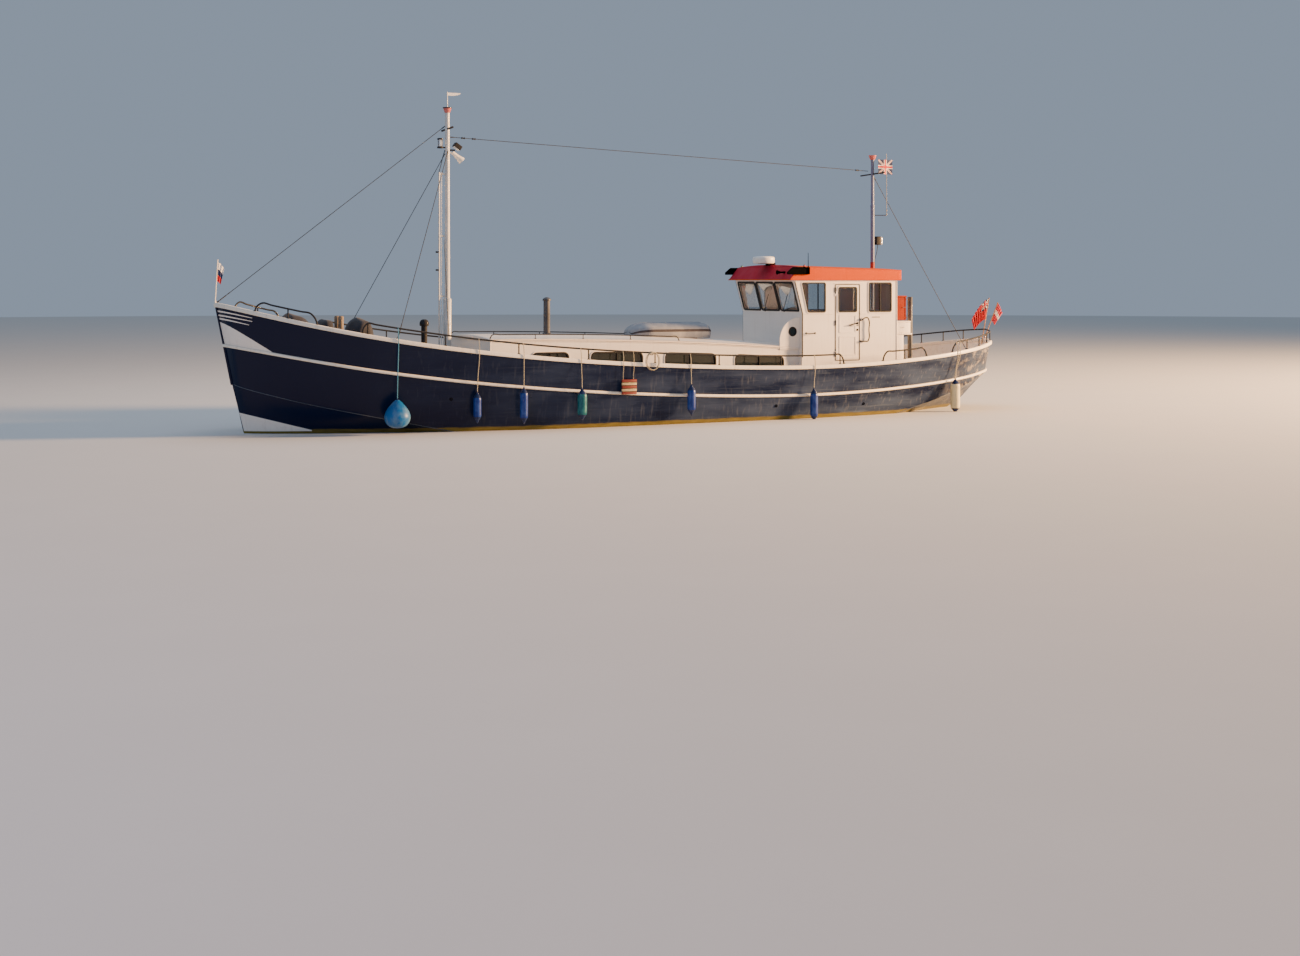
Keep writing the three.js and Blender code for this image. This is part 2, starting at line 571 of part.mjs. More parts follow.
// A sidelight's board outside the roof, with its lamp. The port one also carries a whip aerial.
function sidelight(side) {
  const y = [side * (ROOF.half + GAP), side * (ROOF.half + LIGHTS.out)].sort((a, b) => a - b);
  const [[x0, x1], [z0, z1]] = [LIGHTS.x, LIGHTS.z];
  const board = sidePlate([[x0, z0], [x1, z0], [x1, z1], [LIGHTS.cutX, z1], [x0, LIGHTS.cutZ]], y[0], y[1]);
  const mid = (y[0] + y[1]) / 2;
  const lamp = rod([x1 - 150, mid, z1 - 10], [x1 - 150, mid, z1 + 60], 28, 10);
  const whip = rod([WHIP.x, mid, z1 - 10], [WHIP.x, mid, WHIP.top], WHIP.r, 6);
  return side < 0 ? join(board, lamp, whip) : join(board, lamp);
}

function wing(side) {
  const y = [side * WING.inner, side * (WING.inner - WING.thick)].sort((a, b) => a - b);
  const backX = HOUSE.fwdX - GAP;
  const plate = sidePlate([
    [backX, WING.low], [backX - WING.r, WING.low], ...arc(backX, WING.arcZ, WING.r, 180, 90, 8),
  ], y[0], y[1]);
  const { portX, portZ, portR } = WING;
  const port = rod([portX, y[0] - THROUGH, portZ], [portX, y[1] + THROUGH, portZ], portR, 16);
  return cut(plate, port, trunkRoofTool);
}

function helmWheel() {
  const { x, z, rim, tube, hub, spokes } = HELM;
  const ring = solid(new THREE.TorusGeometry(rim, tube, 6, 20).rotateY(Math.PI / 2).translate(x, 0, z));
  const parts = [rod([x - 45, 0, z], [x + 30, 0, z], hub, 12)];
  for (let i = 0; i < spokes; i += 1) {
    const a = (i / spokes) * 2 * Math.PI;
    parts.push(rod([x, 0, z], [x, rim * Math.cos(a), z + rim * Math.sin(a)], 11, 6));
  }
  return join(ring, ...parts);
}

// Masts and standing rigging
function pole({ x, top, r, foot, head }, grow) {
  return rod([x, 0, foot], [x, 0, top - head], r + grow, 12, r * 0.8 + grow);
}

// What the foremast carries, as distances from its axis and heights: a vane, the flared top light, the
// lantern forward, the floodlight and the loudhailer aft, and two pipes forward with their brackets.
const FITTINGS = {
  staffR: 12, vane: [340, 7805, 7890], cup: [7400, 7530, 60, 102], armHalf: 360, armR: 26,
  lantern: [-180, 70, 6555, 6800], shelf: [6560, 6600],
  flood: [120, 380, 6520, 6700, 80], floodArm: [6500, 6540],
  hailer: [130, 6465, 365, 6275, 45, 90], hailerArm: [6440, 6480],
  pipe: [-205, 20], thin: [-145, 11], pipeTop: 5990, brackets: [5930, 4465, 3045], bracketHigh: 36,
};

function foremast() {
  const { x, top, foot, stepTop, stepR, arm } = MAST;
  const f = FITTINGS;
  const upright = (at, r, low, high) => rod([x + at, 0, low], [x + at, 0, high], r, 12);
  const arms = (from, to, [low, high]) => box(x + from, x + to, -20, 20, low, high);
  const [hailX, hailZ, mouthX, mouthZ, neckR, mouthR] = f.hailer;
  return cut(join(
    pole(MAST, 0), upright(0, stepR, foot, stepTop), upright(0, f.staffR, f.cup[0], top),
    box(x, x + f.vane[0], -5, 5, f.vane[1], f.vane[2]),
    rod([x, 0, f.cup[0]], [x, 0, f.cup[1]], f.cup[2], 12, f.cup[3]),
    rod([x, -f.armHalf, arm], [x, f.armHalf, arm], f.armR, 8),
    upright(f.lantern[0], f.lantern[1], f.lantern[2], f.lantern[3]), arms(f.lantern[0], 0, f.shelf),
    box(x + f.flood[0], x + f.flood[1], -f.flood[4], f.flood[4], f.flood[2], f.flood[3]),
    arms(0, f.flood[0] + 20, f.floodArm),
    rod([x + hailX, 0, hailZ], [x + mouthX, 0, mouthZ], neckR, 10, mouthR), arms(0, hailX + 20, f.hailerArm),
    upright(f.pipe[0], f.pipe[1], foot, f.pipeTop), upright(f.thin[0], f.thin[1], foot, f.pipeTop),
    ...f.brackets.map((z) => arms(f.pipe[0], 0, [z, z + f.bracketHigh])),
  ), hullTool);
}

// The aerial stands on a bracket aft of the mast, with a small flag on it. The mast's light is a flared cup.
const CUP = { low: 6650, high: 6768, foot: 64, rim: 110 };
const BOX_LIGHT = { fwd: 95, aft: 285, half: 70, high: 232 };

function aftMast() {
  const { x, cross, crossHalf, lamp } = AFT_MAST;
  const at = (z) => [AERIAL.x, AERIAL.y, z];
  const { flagX, flagZ, y } = AERIAL;
  return cut(join(
    pole(AFT_MAST, 0),
    rod([x, 0, CUP.low], [x, 0, CUP.high], CUP.foot, 12, CUP.rim),
    rod([x, -crossHalf, cross], [x, crossHalf, cross], 24, 8),
    box(x + BOX_LIGHT.fwd, x + BOX_LIGHT.aft, -BOX_LIGHT.half, BOX_LIGHT.half, lamp, lamp + BOX_LIGHT.high),
    box(x, x + BOX_LIGHT.fwd + 10, -20, 20, lamp + 20, lamp + 60),
    rod([x, 0, AERIAL.foot + 12], at(AERIAL.foot + 12), 12, 8),
    rod(at(AERIAL.foot), at(AERIAL.top), AERIAL.r, 6),
    box(flagX[0], flagX[1], y - 15, y - 3, flagZ[0], flagZ[1]),
  ), hullTool);
}

// Standing rigging. Columns: name, start, end. It starts inside a mast and ends in the cap rail or the deck.
const STAY_R = 8;
const STAYS = [
  ['forestay', [MAST.x, 0, MAST.stays], [-10150, 0, capZ(-10150) - 30]],
  ['triatic_stay', [MAST.x, 0, 6830], [AFT_MAST.x, 0, 6340]],
  ['backstay', [AFT_MAST.x, 0, 6200], [10450, 0, deckZ(10450) - 30]],
  ['shroud_port', [MAST.x, 0, 6500], [-6700, -1960, capZ(-6700) - 30]],
  ['shroud_starboard', [MAST.x, 0, 6500], [-6700, 1960, capZ(-6700) - 30]],
];

// Deck fittings
function bitts() {
  const { x, half, r, top, bar, barHalf, barR } = BITTS;
  const posts = [-half, half].map((y) => rod([x, y, 1500], [x, y, top], r, 12));
  return cut(join(...posts, rod([x, -barHalf, bar], [x, barHalf, bar], barR, 10)), hullTool);
}

function deckVent() {
  const { x, y, r, neck, cowlR, top } = VENT;
  const pipe = turned([[0, 1300], [r, 1300], [r, neck], [0, neck]], x, y);
  const low = neck - 20;
  const cowl = turned([[0, low], [cowlR - 15, low], [cowlR, neck + 40], [r, top - 10], [0, top]], x, y);
  return cut(join(pipe, cowl), hullTool);
}

// The windlass under its canvas. Columns: x, half-width, top.
const WINDLASS = [
  [-8850, 280, 2330], [-8740, 400, 2620], [-8600, 450, 2700],
  [-8400, 450, 2640], [-8200, 420, 2480], [-8080, 320, 2250],
];

function windlassCover() {
  const shape = [[-1, 0], [1, 0], [1, 0.6], [0.8, 0.85], [0.4, 0.97], [-0.4, 1], [-0.8, 0.88], [-1, 0.6]];
  const rings = WINDLASS.map(([x, half, top]) => shape.map(([u, v]) => [x, u * half, mix(1600, top, v)]));
  return cut(loft(rings), hullTool);
}

function hatchCoaming() {
  const { x, half, coaming, wall } = HATCH;
  const top = deckZ(x) + coaming;
  const inner = half - wall;
  const outer = box(x - half, x + half, -half, half, 1300, top);
  return cut(outer, box(x - inner, x + inner, -inner, inner, 1200, top + THROUGH), hullTool);
}

function hatchLid() {
  const { x, half, coaming, lid, over } = HATCH;
  const low = deckZ(x) + coaming + GAP;
  const edge = half + over;
  const top = low + lid;
  return join(
    box(x - edge, x + edge, -edge, edge, low, top),
    rod([x - edge - 12, -200, low + lid / 2], [x - edge - 12, 200, low + lid / 2], 16, 12),
    rod([x, -40, top + 20], [x, 40, top + 20], 12, 8),
    box(x - 8, x + 8, -40, -24, top - 5, top + 20), box(x - 8, x + 8, 24, 40, top - 5, top + 20),
  );
}

// Fenders hang from the cap rail's outer edge. Columns: name, x, bottom, top, radius, colour.
const FENDERS = [
  ['fender_ball', -6700, 146, 800, 290, 'sky'], ['fender_1', -4855, 200, 925, 95, 'blue'],
  ['fender_2', -3790, 155, 1010, 95, 'blue'], ['fender_3', -2370, 190, 950, 115, 'teal'],
  ['fender_4', 500, 210, 965, 105, 'blue'], ['fender_5', 3980, -60, 780, 100, 'blue'],
  ['fender_stern', 8690, -50, 870, 130, 'buff'],
];

function hullHalf(x, z) {
  const i = LINES.findIndex((row) => sidePoint(row, z)[0] > x);
  const [a, b] = [sidePoint(LINES[i - 1], z), sidePoint(LINES[i], z)];
  return mix(a[1], b[1], (x - a[0]) / (b[0] - a[0]));
}

function fender([name, x, bottom, top, r]) {
  const edge = railPoint(x, -1, 0)[1] - PIPE.inset;
  const strake = hullHalf(x, strakeZ(x) + STRAKE.high) + STRAKE.out;
  const beside = strakeZ(x) - STRAKE.high < top ? strake : hullHalf(x, top);
  const y = -Math.max(beside + r + 4, strake + 14);
  const round = name === 'fender_ball';
  const waist = round ? (top + bottom) / 2 - 40 : 0;
  const profile = round
    ? [[0, bottom], [0.7 * r, bottom + 70], [r, waist], [0.75 * r, waist + 200], [60, top - 40], [0, top]]
    : [[0, bottom], [0.6 * r, bottom + 25], [r, bottom + 110], [r, top - 110], [0.6 * r, top - 25], [0, top]];
  const lanyard = rod([x, y, top - 30], [x, edge - 10, capZ(x) - RAIL.capHigh + 20], 9, 6);
  return cut(join(turned(profile, x, y, 12), lanyard), capTools.port);
}

// A slatted step hung from the cap rail by two ropes.
function boardingStep() {
  const { x, half, low, high } = STEP;
  const back = -(hullHalf(x, strakeZ(x) + STRAKE.high) + STRAKE.out + 4);
  const edge = railPoint(x, -1, 0)[1] - PIPE.inset;
  const slats = [0, 1, 2, 3].map((i) => mix(low, high - 50, i / 3))
    .map((z) => box(x - half, x + half, back - 110, back - 20, z, z + 35));
  const cheeks = [x - 150, x + 120].map((at) => box(at, at + 30, back - 50, back, low, high));
  const ropes = [x - 135, x + 135].map((at) => rod(
    [at, back - 25, high - 20], [at, edge - RAIL.capOut + 15, capZ(at) - RAIL.capHigh + 20], 8, 6,
  ));
  return cut(join(...cheeks, ...slats, ...ropes), capTools.port);
}

// The tender lies keel up: two round sides and a rounded bottom.
function tender() {
  const { fwdX, aftX, half, rise, top, chockXs } = TENDER;
  const low = trunkEdge(0) + rise;
  // Columns: share of the length, half-breadth share, height share.
  const shape = [
    [0, 0.45, 0.55], [0.08, 0.78, 0.85], [0.22, 0.98, 1], [0.6, 1, 1], [0.96, 0.99, 0.98], [1, 0.94, 0.88],
  ];
  const rings = shape.map(([t, wide, high]) => {
    const x = mix(fwdX, aftX, t);
    const [w, h] = [half * wide, (top - low) * high];
    return arc(0, 0, 1, 0, 180, 8).map(([u, v]) => [x, w * u, low + h * (0.18 + 0.82 * v ** 0.5)])
      .concat([[x, -w * 0.8, low], [x, w * 0.8, low]]);
  });
  const chocks = chockXs.map((x) => box(x, x + 60, -500, 500, trunkEdge(x) + 20, low + rise));
  return cut(join(loft(rings), ...chocks), trunkRoofTool);
}

// Flags, each hanging gathered from a staff that leans aft
const ENSIGN = [
  [10420, 2120], [10650, 2105], [10880, 2130], [10980, 2400], [11060, 2600], [11065, 2925], [10970, 2950],
  [10780, 2860], [10580, 2460],
];
const AFT_FLAG = [
  [11100, 2310], [11225, 2130], [11360, 2090], [11484, 2120], [11400, 2550], [11345, 2825], [11290, 2800],
];

const ensignStaff = (grow) => rod(
  [STAFF.footX, 0, STAFF.foot], [STAFF.headX, 0, STAFF.head], STAFF.r + grow, 8,
);

function aftFlag() {
  const { footX, headX, head, r } = AFT_STAFF;
  const staff = rod([footX, 0, capZ(footX) - 30], [headX, 0, head], r, 8);
  return onCap(join(sidePlate(AFT_FLAG, -FLAG_HALF, FLAG_HALF), staff));
}

// Assembly
function growRoof() {
  const half = TRUNK.half + TRUNK.over + GAP;
  return loft([TRUNK.fwdX - 40, ...TRUNK_STATIONS, TRUNK.aftX + 50].map((x) => {
    const z = trunkEdge(Math.min(Math.max(x, TRUNK.fwdX), TRUNK.aftX)) + GAP;
    const shoulder = z + 0.75 * TRUNK.camber;
    return [
      [x, -half, 1000], [x, half, 1000], [x, half, z],
      [x, half / 2, shoulder], [x, 0, z + TRUNK.camber], [x, -half / 2, shoulder], [x, -half, z],
    ];
  }));
}

function stovepipe() {
  const { x, r, top, capR, capTop } = STOVE;
  const cap = rod([x, 0, top - 10], [x, 0, capTop], capR, 12);
  return cut(join(rod([x, 0, trunkEdge(x)], [x, 0, top], r, 12), cap), trunkRoofTool);
}

function whiteLocker() {
  const { aftX, inY, low, high, legX, legY, over, shelf } = LOCKERS.white;
  const fwd = HOUSE.aftX + GAP;
  return cut(join(
    box(fwd, aftX, LOCKERS.y, inY, low, high), box(fwd, legX, LOCKERS.y, legY, HOUSE.foot, low),
    box(fwd, aftX + over, LOCKERS.y - over, inY + over, low - shelf, low),
  ), hullTool);
}

function orangeLocker() {
  const { aftX, inY, low, high } = LOCKERS.orange;
  return box(HOUSE.aftX + GAP, aftX, LOCKERS.y, inY, low, high);
}

// The flag at the bow hangs gathered from a short staff.
const JACK = {
  footX: -10240, headX: -10250, head: 3850, r: 13, tip: 9, fly: 210, flag: [3470, 3825], half: 30,
};

function jackstaff() {
  const { footX, headX, head, r, tip, fly, flag, half } = JACK;
  const staff = rod([footX, 0, capZ(footX) - 30], [headX, 0, head], r, 8, tip);
  return onCap(join(staff, box(footX, footX + fly, -half, half, flag[0], flag[1])));
}
const trunkRoofTool = growRoof();

add('hull', hull, PAINT.navy);
add('keel', keel(), PAINT.antifoul);
add('propeller', propeller(), PAINT.bronze);
add('rudder', rudder(), PAINT.antifoul);
add('rudder_trunk', rudderTrunk(), PAINT.antifoul);
for (const name of Object.keys(SIDES)) addSide(name);
for (const [name, side] of Object.entries(SIDES)) {
  add(`rail_${name}`, cut(sideRail(side), capTools[name]), PAINT.black);
}
add('rail_stern', onCap(sternRail()), PAINT.black);
add('trunk_front', trunkFront(), PAINT.white);
add('trunk_roof', trunkRoof(), PAINT.white);
add('wheelhouse_front', houseFront(), PAINT.white);
add('wheelhouse_aft', houseAft(), PAINT.white);
add('wheelhouse_floor', houseFloor(), PAINT.wood);
add('wheelhouse_roof', houseRoof(), PAINT.orange);
for (const [name, side] of Object.entries(SIDES)) {
  add(`trunk_side_${name}`, trunkSide(side), PAINT.white);
  add(`wheelhouse_side_${name}`, houseSide(side), PAINT.white);
  add(`door_${name}`, door(side), PAINT.white);
  add(`sidelight_${name}`, sidelight(side), PAINT.black);
}
add('wing_port', wing(SIDES.port), PAINT.white);
add('helm_wheel', helmWheel(), PAINT.wood);
add('foremast', foremast(), PAINT.grey);
add('aft_mast', aftMast(), PAINT.grey);
const masts = [pole(MAST, GAP), pole(AFT_MAST, GAP)];
for (const [name, from, to] of STAYS) {
  add(name, onCap(cut(rod(from, to, STAY_R, 6), hullTool, ...masts)), PAINT.wire);
}
add('stovepipe', stovepipe(), PAINT.black);
const stack = rod([STACK.x, STACK.y, HOUSE.foot], [STACK.x, STACK.y, STACK.top], STACK.r, 12);
add('exhaust_stack', cut(stack, hullTool), PAINT.black);
add('orange_locker', orangeLocker(), PAINT.salmon);
add('white_locker', whiteLocker(), PAINT.white);
add('tender', tender(), PAINT.tender);
for (const row of FENDERS) add(row[0], fender(row), PAINT[row[5]]);
add('boarding_step', boardingStep(), PAINT.red);
add('bitts', bitts(), PAINT.wood);
add('deck_vent', deckVent(), PAINT.black);
add('windlass_cover', windlassCover(), PAINT.canvas);
add('hatch_coaming', hatchCoaming(), PAINT.grey);
add('hatch_lid', hatchLid(), PAINT.grey);
add('jackstaff', jackstaff(), PAINT.cream);
add('ensign_staff', cut(ensignStaff(0), hullTool), PAINT.wood);
add('ensign', cut(sidePlate(ENSIGN, -FLAG_HALF, FLAG_HALF), ensignStaff(GAP)), PAINT.red);
add('flag_aft', aftFlag(), PAINT.red);

export default boat;
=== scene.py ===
"""A converted motor barge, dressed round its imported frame.

Metres. X runs aft, Y to starboard, Z up, and the origin is amidships at the waterline.
"""

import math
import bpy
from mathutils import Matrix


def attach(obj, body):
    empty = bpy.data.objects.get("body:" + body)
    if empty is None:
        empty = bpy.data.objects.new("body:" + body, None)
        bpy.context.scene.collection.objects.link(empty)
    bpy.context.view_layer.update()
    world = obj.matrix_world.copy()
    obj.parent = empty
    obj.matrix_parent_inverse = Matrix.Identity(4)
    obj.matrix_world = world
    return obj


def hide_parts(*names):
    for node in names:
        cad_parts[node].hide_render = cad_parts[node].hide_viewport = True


bl_info = {
    "name": "Converted motor barge",
    "version": (1, 0, 0),
    "blender": (4, 5, 0),
    "location": "View3D > Sidebar > Barge",
    "description": "Hull, cabins, rigging and gear of a converted motor barge",
    "category": "Add Mesh",
}

import bpy
import numpy as np
from bpy.props import FloatProperty, FloatVectorProperty, PointerProperty

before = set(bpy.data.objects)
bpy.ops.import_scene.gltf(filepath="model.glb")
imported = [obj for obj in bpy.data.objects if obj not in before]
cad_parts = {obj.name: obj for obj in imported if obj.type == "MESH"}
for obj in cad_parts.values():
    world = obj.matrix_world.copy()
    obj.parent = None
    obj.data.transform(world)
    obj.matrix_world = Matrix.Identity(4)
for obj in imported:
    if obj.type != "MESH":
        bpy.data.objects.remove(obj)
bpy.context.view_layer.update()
SIDES = {"port": -1.0, "starboard": 1.0}

# Hull lines, one row for each station from stem to stern.
# Columns: cap x and half-breadth, chine x, half-breadth and height, keel x and height.
LINES = np.array([
    [-10.290, 0.000, -9.920, 0.000, 1.120, -9.920, 1.120],
    [-10.190, 0.330, -9.800, 0.190, 1.060, -9.790, 0.600],
    [-9.960, 0.660, -9.560, 0.400, 0.975, -9.650, 0.000],
    [-9.560, 1.000, -9.160, 0.680, 0.860, -9.480, -0.450],
    [-8.950, 1.350, -8.600, 0.960, 0.710, -9.150, -0.850],
    [-8.200, 1.640, -7.950, 1.240, 0.560, -8.550, -1.060],
    [-7.300, 1.870, -7.200, 1.450, 0.400, -7.700, -1.120],
    [-6.200, 2.040, -6.150, 1.600, 0.180, -6.400, -1.140],
    [-5.000, 2.150, -5.000, 1.720, -0.060, -5.000, -1.150],
    [-3.600, 2.220, -3.600, 1.925, -0.330, -3.600, -1.150],
    [-2.000, 2.250, -2.000, 2.040, -0.540, -2.000, -1.150],
    [0.000, 2.250, 0.000, 1.990, -0.640, 0.000, -1.150],
    [2.000, 2.250, 2.000, 1.910, -0.620, 2.000, -1.150],
    [4.000, 2.240, 4.000, 1.790, -0.500, 4.000, -1.130],
    [5.500, 2.180, 5.500, 1.660, -0.300, 5.500, -1.060],
    [7.000, 2.060, 7.000, 1.480, 0.020, 6.900, -0.860],
    [8.300, 1.850, 8.250, 1.370, 0.330, 7.900, -0.460],
    [9.300, 1.530, 9.250, 1.160, 0.600, 8.800, -0.240],
    [10.100, 1.080, 10.020, 0.840, 0.830, 9.500, -0.040],
    [10.620, 0.600, 10.520, 0.480, 0.970, 10.080, 0.260],
    [10.900, 0.000, 10.760, 0.000, 1.040, 10.760, 1.040],
])
CAP = {"high": 0.095, "out": 0.035, "inner": -0.070}
STRAKE = {"high": 0.070, "out": 0.050}
RAIL_UP = 0.240


def linear(code):
    """An sRGB hex colour as linear red, green and blue."""
    share = np.array([int(code[i:i + 2], 16) for i in (1, 3, 5)]) / 255
    return tuple(np.where(share <= 0.04045, share / 12.92, ((share + 0.055) / 1.055) ** 2.4).tolist())


# Heights along the boat


def smooth(t):
    """Eases from 0 to 1: three squares less two cubes of the share."""
    t = np.clip(t, 0, 1)
    return t * t * (3 - 2 * t)


def cap_height(x):
    """A parabola aft of the lowest point, and two rising powers of the distance forward of it."""
    x = np.asarray(x, float)
    aft = 1.340 + 0.515 * ((x - 3.7) / 7.2) ** 2
    t = np.clip((3.7 - x) / 14.05, 0, None)
    return np.where(x > 3.7, aft, 1.340 + 0.965 * t ** 1.6 + 0.650 * t ** 4)


def deck_height(x):
    """The cap's height less a step, which deepens by an ease towards each end."""
    x = np.asarray(x, float)
    return cap_height(x) - 0.225 - 0.420 * smooth((-4.5 - x) / 3.5) - 0.330 * smooth((x - 6.95) / 1.5)


def strake_height(x):
    """The cap's height less a drop that grows by a fourth power forward and a square aft."""
    x = np.asarray(x, float)
    bow = np.where(x < 0, 0.210 * (x / 10.3) ** 4, 0)
    stern = np.where(x > 3.7, 0.065 * ((x - 3.7) / 7.2) ** 2, 0)
    return cap_height(x) - 0.745 - bow - stern


def trunk_edge(x):
    """A parabola that falls away aft of the trunk's front."""
    return 2.070 - 4.614e-3 * (np.asarray(x, float) + 4.25) ** 2


# Curves and hull lines


def cubic(values, tilt, i, h, t):
    """The cubic with given values and slopes at both ends of a stretch, at the share t of its length h."""
    return (
        values[i] * (1 + 2 * t) * (1 - t) ** 2 + values[i + 1] * t * t * (3 - 2 * t)
        + tilt[i] * h * t * (1 - t) ** 2 - tilt[i + 1] * h * t * t * (1 - t)
    )


def monotone(knots, values, at):
    """A curve through the knots that never overshoots.

    Each stretch is a cubic, and its end slopes are the harmonic mean of the slopes on both sides.
    """
    step = np.diff(knots)[:, None]
    slope = np.diff(values, axis=0) / step
    same = slope[:-1] * slope[1:] > 0
    left, right = (np.where(same, part, 1.0) for part in (slope[:-1], slope[1:]))
    wide, narrow = 2 * step[1:] + step[:-1], step[1:] + 2 * step[:-1]
    mean = np.where(same, (wide + narrow) / (wide / left + narrow / right), 0.0)
    tilt = np.vstack([slope[:1], mean, slope[-1:]])
    i = np.clip(np.searchsorted(knots, at, side="right") - 1, 0, len(knots) - 2)
    h = step[i]
    t = ((at - knots[i])[:, None]) / h
    return cubic(values, tilt, i, h, t)


def hull_rows(count):
    """Stations between the given ones, set along the cap rail's own length in plan."""
    run = np.concatenate([[0], np.cumsum(np.hypot(*np.diff(LINES[:, :2], axis=0).T))])
    return monotone(run, LINES, np.linspace(0, run[-1], count))


ROWS = hull_rows(440)
ROW_CAP = cap_height(ROWS[:, 0])


def xyz(*parts):
    """Coordinates joined into points; a part that is one number holds for all of them."""
    return np.stack(np.broadcast_arrays(*parts), -1)


def side_at(z):
    """Points on the hull's flat side at one height for each row: a straight line from chine to cap."""
    cx, cy, hx, hy, hz = ROWS[:, :5].T
    t = (z - hz) / (ROW_CAP - hz)
    return xyz(hx + (cx - hx) * t, hy + (cy - hy) * t, z)


def side_points(height):
    """The line on the hull's flat side that a height function traces."""
    return side_at(height(ROWS[:, 0]))


def outward(points):
    """Directions square to a level line, in plan, that point away from the hull."""
    run = np.gradient(points[:, :2], axis=0)
    run[0], run[-1] = (0, 1), (0, -1)
    out = np.stack([-run[:, 1], run[:, 0]], 1)
    return out / np.linalg.norm(out, axis=1, keepdims=True)


def hull_half(x, z, rows=None):
    """The hull's half-breadth at a length and height, read between the two nearest stations.

    Below the chine the bottom runs straight to the keel.
    """
    x, z = np.broadcast_arrays(np.asarray(x, float), np.asarray(z, float))
    flat_x, flat_z = x.reshape(-1, 1), z.reshape(-1, 1)
    rows = ROWS if rows is None else rows
    cx, cy, hx, hy, hz, kx, kz = rows.T
    t = (flat_z - hz) / (cap_height(cx) - hz)
    down = np.clip(-(flat_z - hz) / np.maximum(hz - kz, 1e-9), 0, 1)
    above = flat_z >= hz
    xs = np.where(above, hx + (cx - hx) * t, hx + (kx - hx) * down)
    ys = np.where(above, hy + (cy - hy) * t, hy * (1 - down))
    i = np.clip((xs < flat_x).sum(1), 1, len(rows) - 1)
    row = np.arange(len(i))
    x0, x1, y0, y1 = xs[row, i - 1], xs[row, i], ys[row, i - 1], ys[row, i]
    share = np.clip((flat_x[:, 0] - x0) / np.maximum(x1 - x0, 1e-9), 0, 1)
    return (y0 + (y1 - y0) * share).reshape(x.shape)


def cap_half(x):
    """The half-breadth at the cap, read in a straight line between rows."""
    return np.interp(x, ROWS[:, 0], ROWS[:, 1])


# Surfaces


class Form:
    """Closed bodies gathered for one piece. Each is a grid whose own edges meet and are welded."""

    def __init__(self):
        self.points, self.loops, self.sizes, self.uvs, self.slots = [], [], [], [], []
        self.count = 0

    def add(self, grid, slot=0, uv=None, slots=None):
        """Adds a grid, with its repeated points welded and its faces turned outward."""
        n, m = grid.shape[:2]
        flat = grid.reshape(-1, 3)
        if uv is None:
            uv = np.stack(np.meshgrid(np.linspace(0, 1, n), np.linspace(0, 1, m), indexing="ij"), -1)
        _, first, weld = np.unique(
            np.round(flat / 1e-5).astype(np.int64), axis=0, return_index=True, return_inverse=True,
        )
        weld = weld.reshape(-1)
        at = np.arange(n * m).reshape(n, m)
        quads = np.stack([at[:-1, :-1], at[1:, :-1], at[1:, 1:], at[:-1, 1:]], -1).reshape(-1, 4)
        face_slot = np.full(len(quads), slot) if slots is None else np.asarray(slots).reshape(-1)
        a, b, c, d = (flat[quads[:, k]] for k in range(4))
        volume = (np.einsum("ij,ij->i", a, np.cross(b, c)) + np.einsum("ij,ij->i", a, np.cross(c, d))).sum()
        if volume < 0:
            quads = quads[:, ::-1]
        welded = weld[quads]
        repeat = welded == np.roll(welded, -1, axis=1)
        crossed = (welded[:, 0] == welded[:, 2]) | (welded[:, 1] == welded[:, 3])
        whole = (repeat.sum(1) == 0) & ~crossed
        three = (repeat.sum(1) == 1) & ~crossed
        keep = ~repeat[three]
        for part, size in ((whole, 4), (three, 3)):
            corners, chosen = welded[part], quads[part]
            if size == 3:
                corners, chosen = corners[keep].reshape(-1, 3), chosen[keep].reshape(-1, 3)
            self.loops.append((corners + self.count).reshape(-1))
            self.uvs.append(uv.reshape(-1, 2)[chosen.reshape(-1)])
            self.sizes.append(np.full(len(corners), size))
            self.slots.append(face_slot[part])
        self.points.append(flat[first])
        self.count += len(first)
        return self

    def pipe(self, *path, **kind):
        return self.add(tube(*path, **kind)[0])

    def bar(self, start, end, count, radius, sides):
        return self.pipe(np.linspace(start, end, count), radius, sides)

    def turn(self, *profile, **kind):
        return self.add(turned(*profile, **kind))

    def collar(self, inner, outer, z, half, bevel, place, sides):
        """A band round an upright, its outer face narrower by a bevel on both edges."""
        face = half - bevel
        return self.turn(
            [(inner, z - half), (outer, z - face), (outer, z + face), (inner, z + half)], place, sides=sides,
        )

    def block(self, *faces):
        return self.add(block(*faces))

    def prism(self, *outline):
        return self.add(prism(*outline))

    def hoop(self, *outlines):
        return self.add(hoop(*outlines))


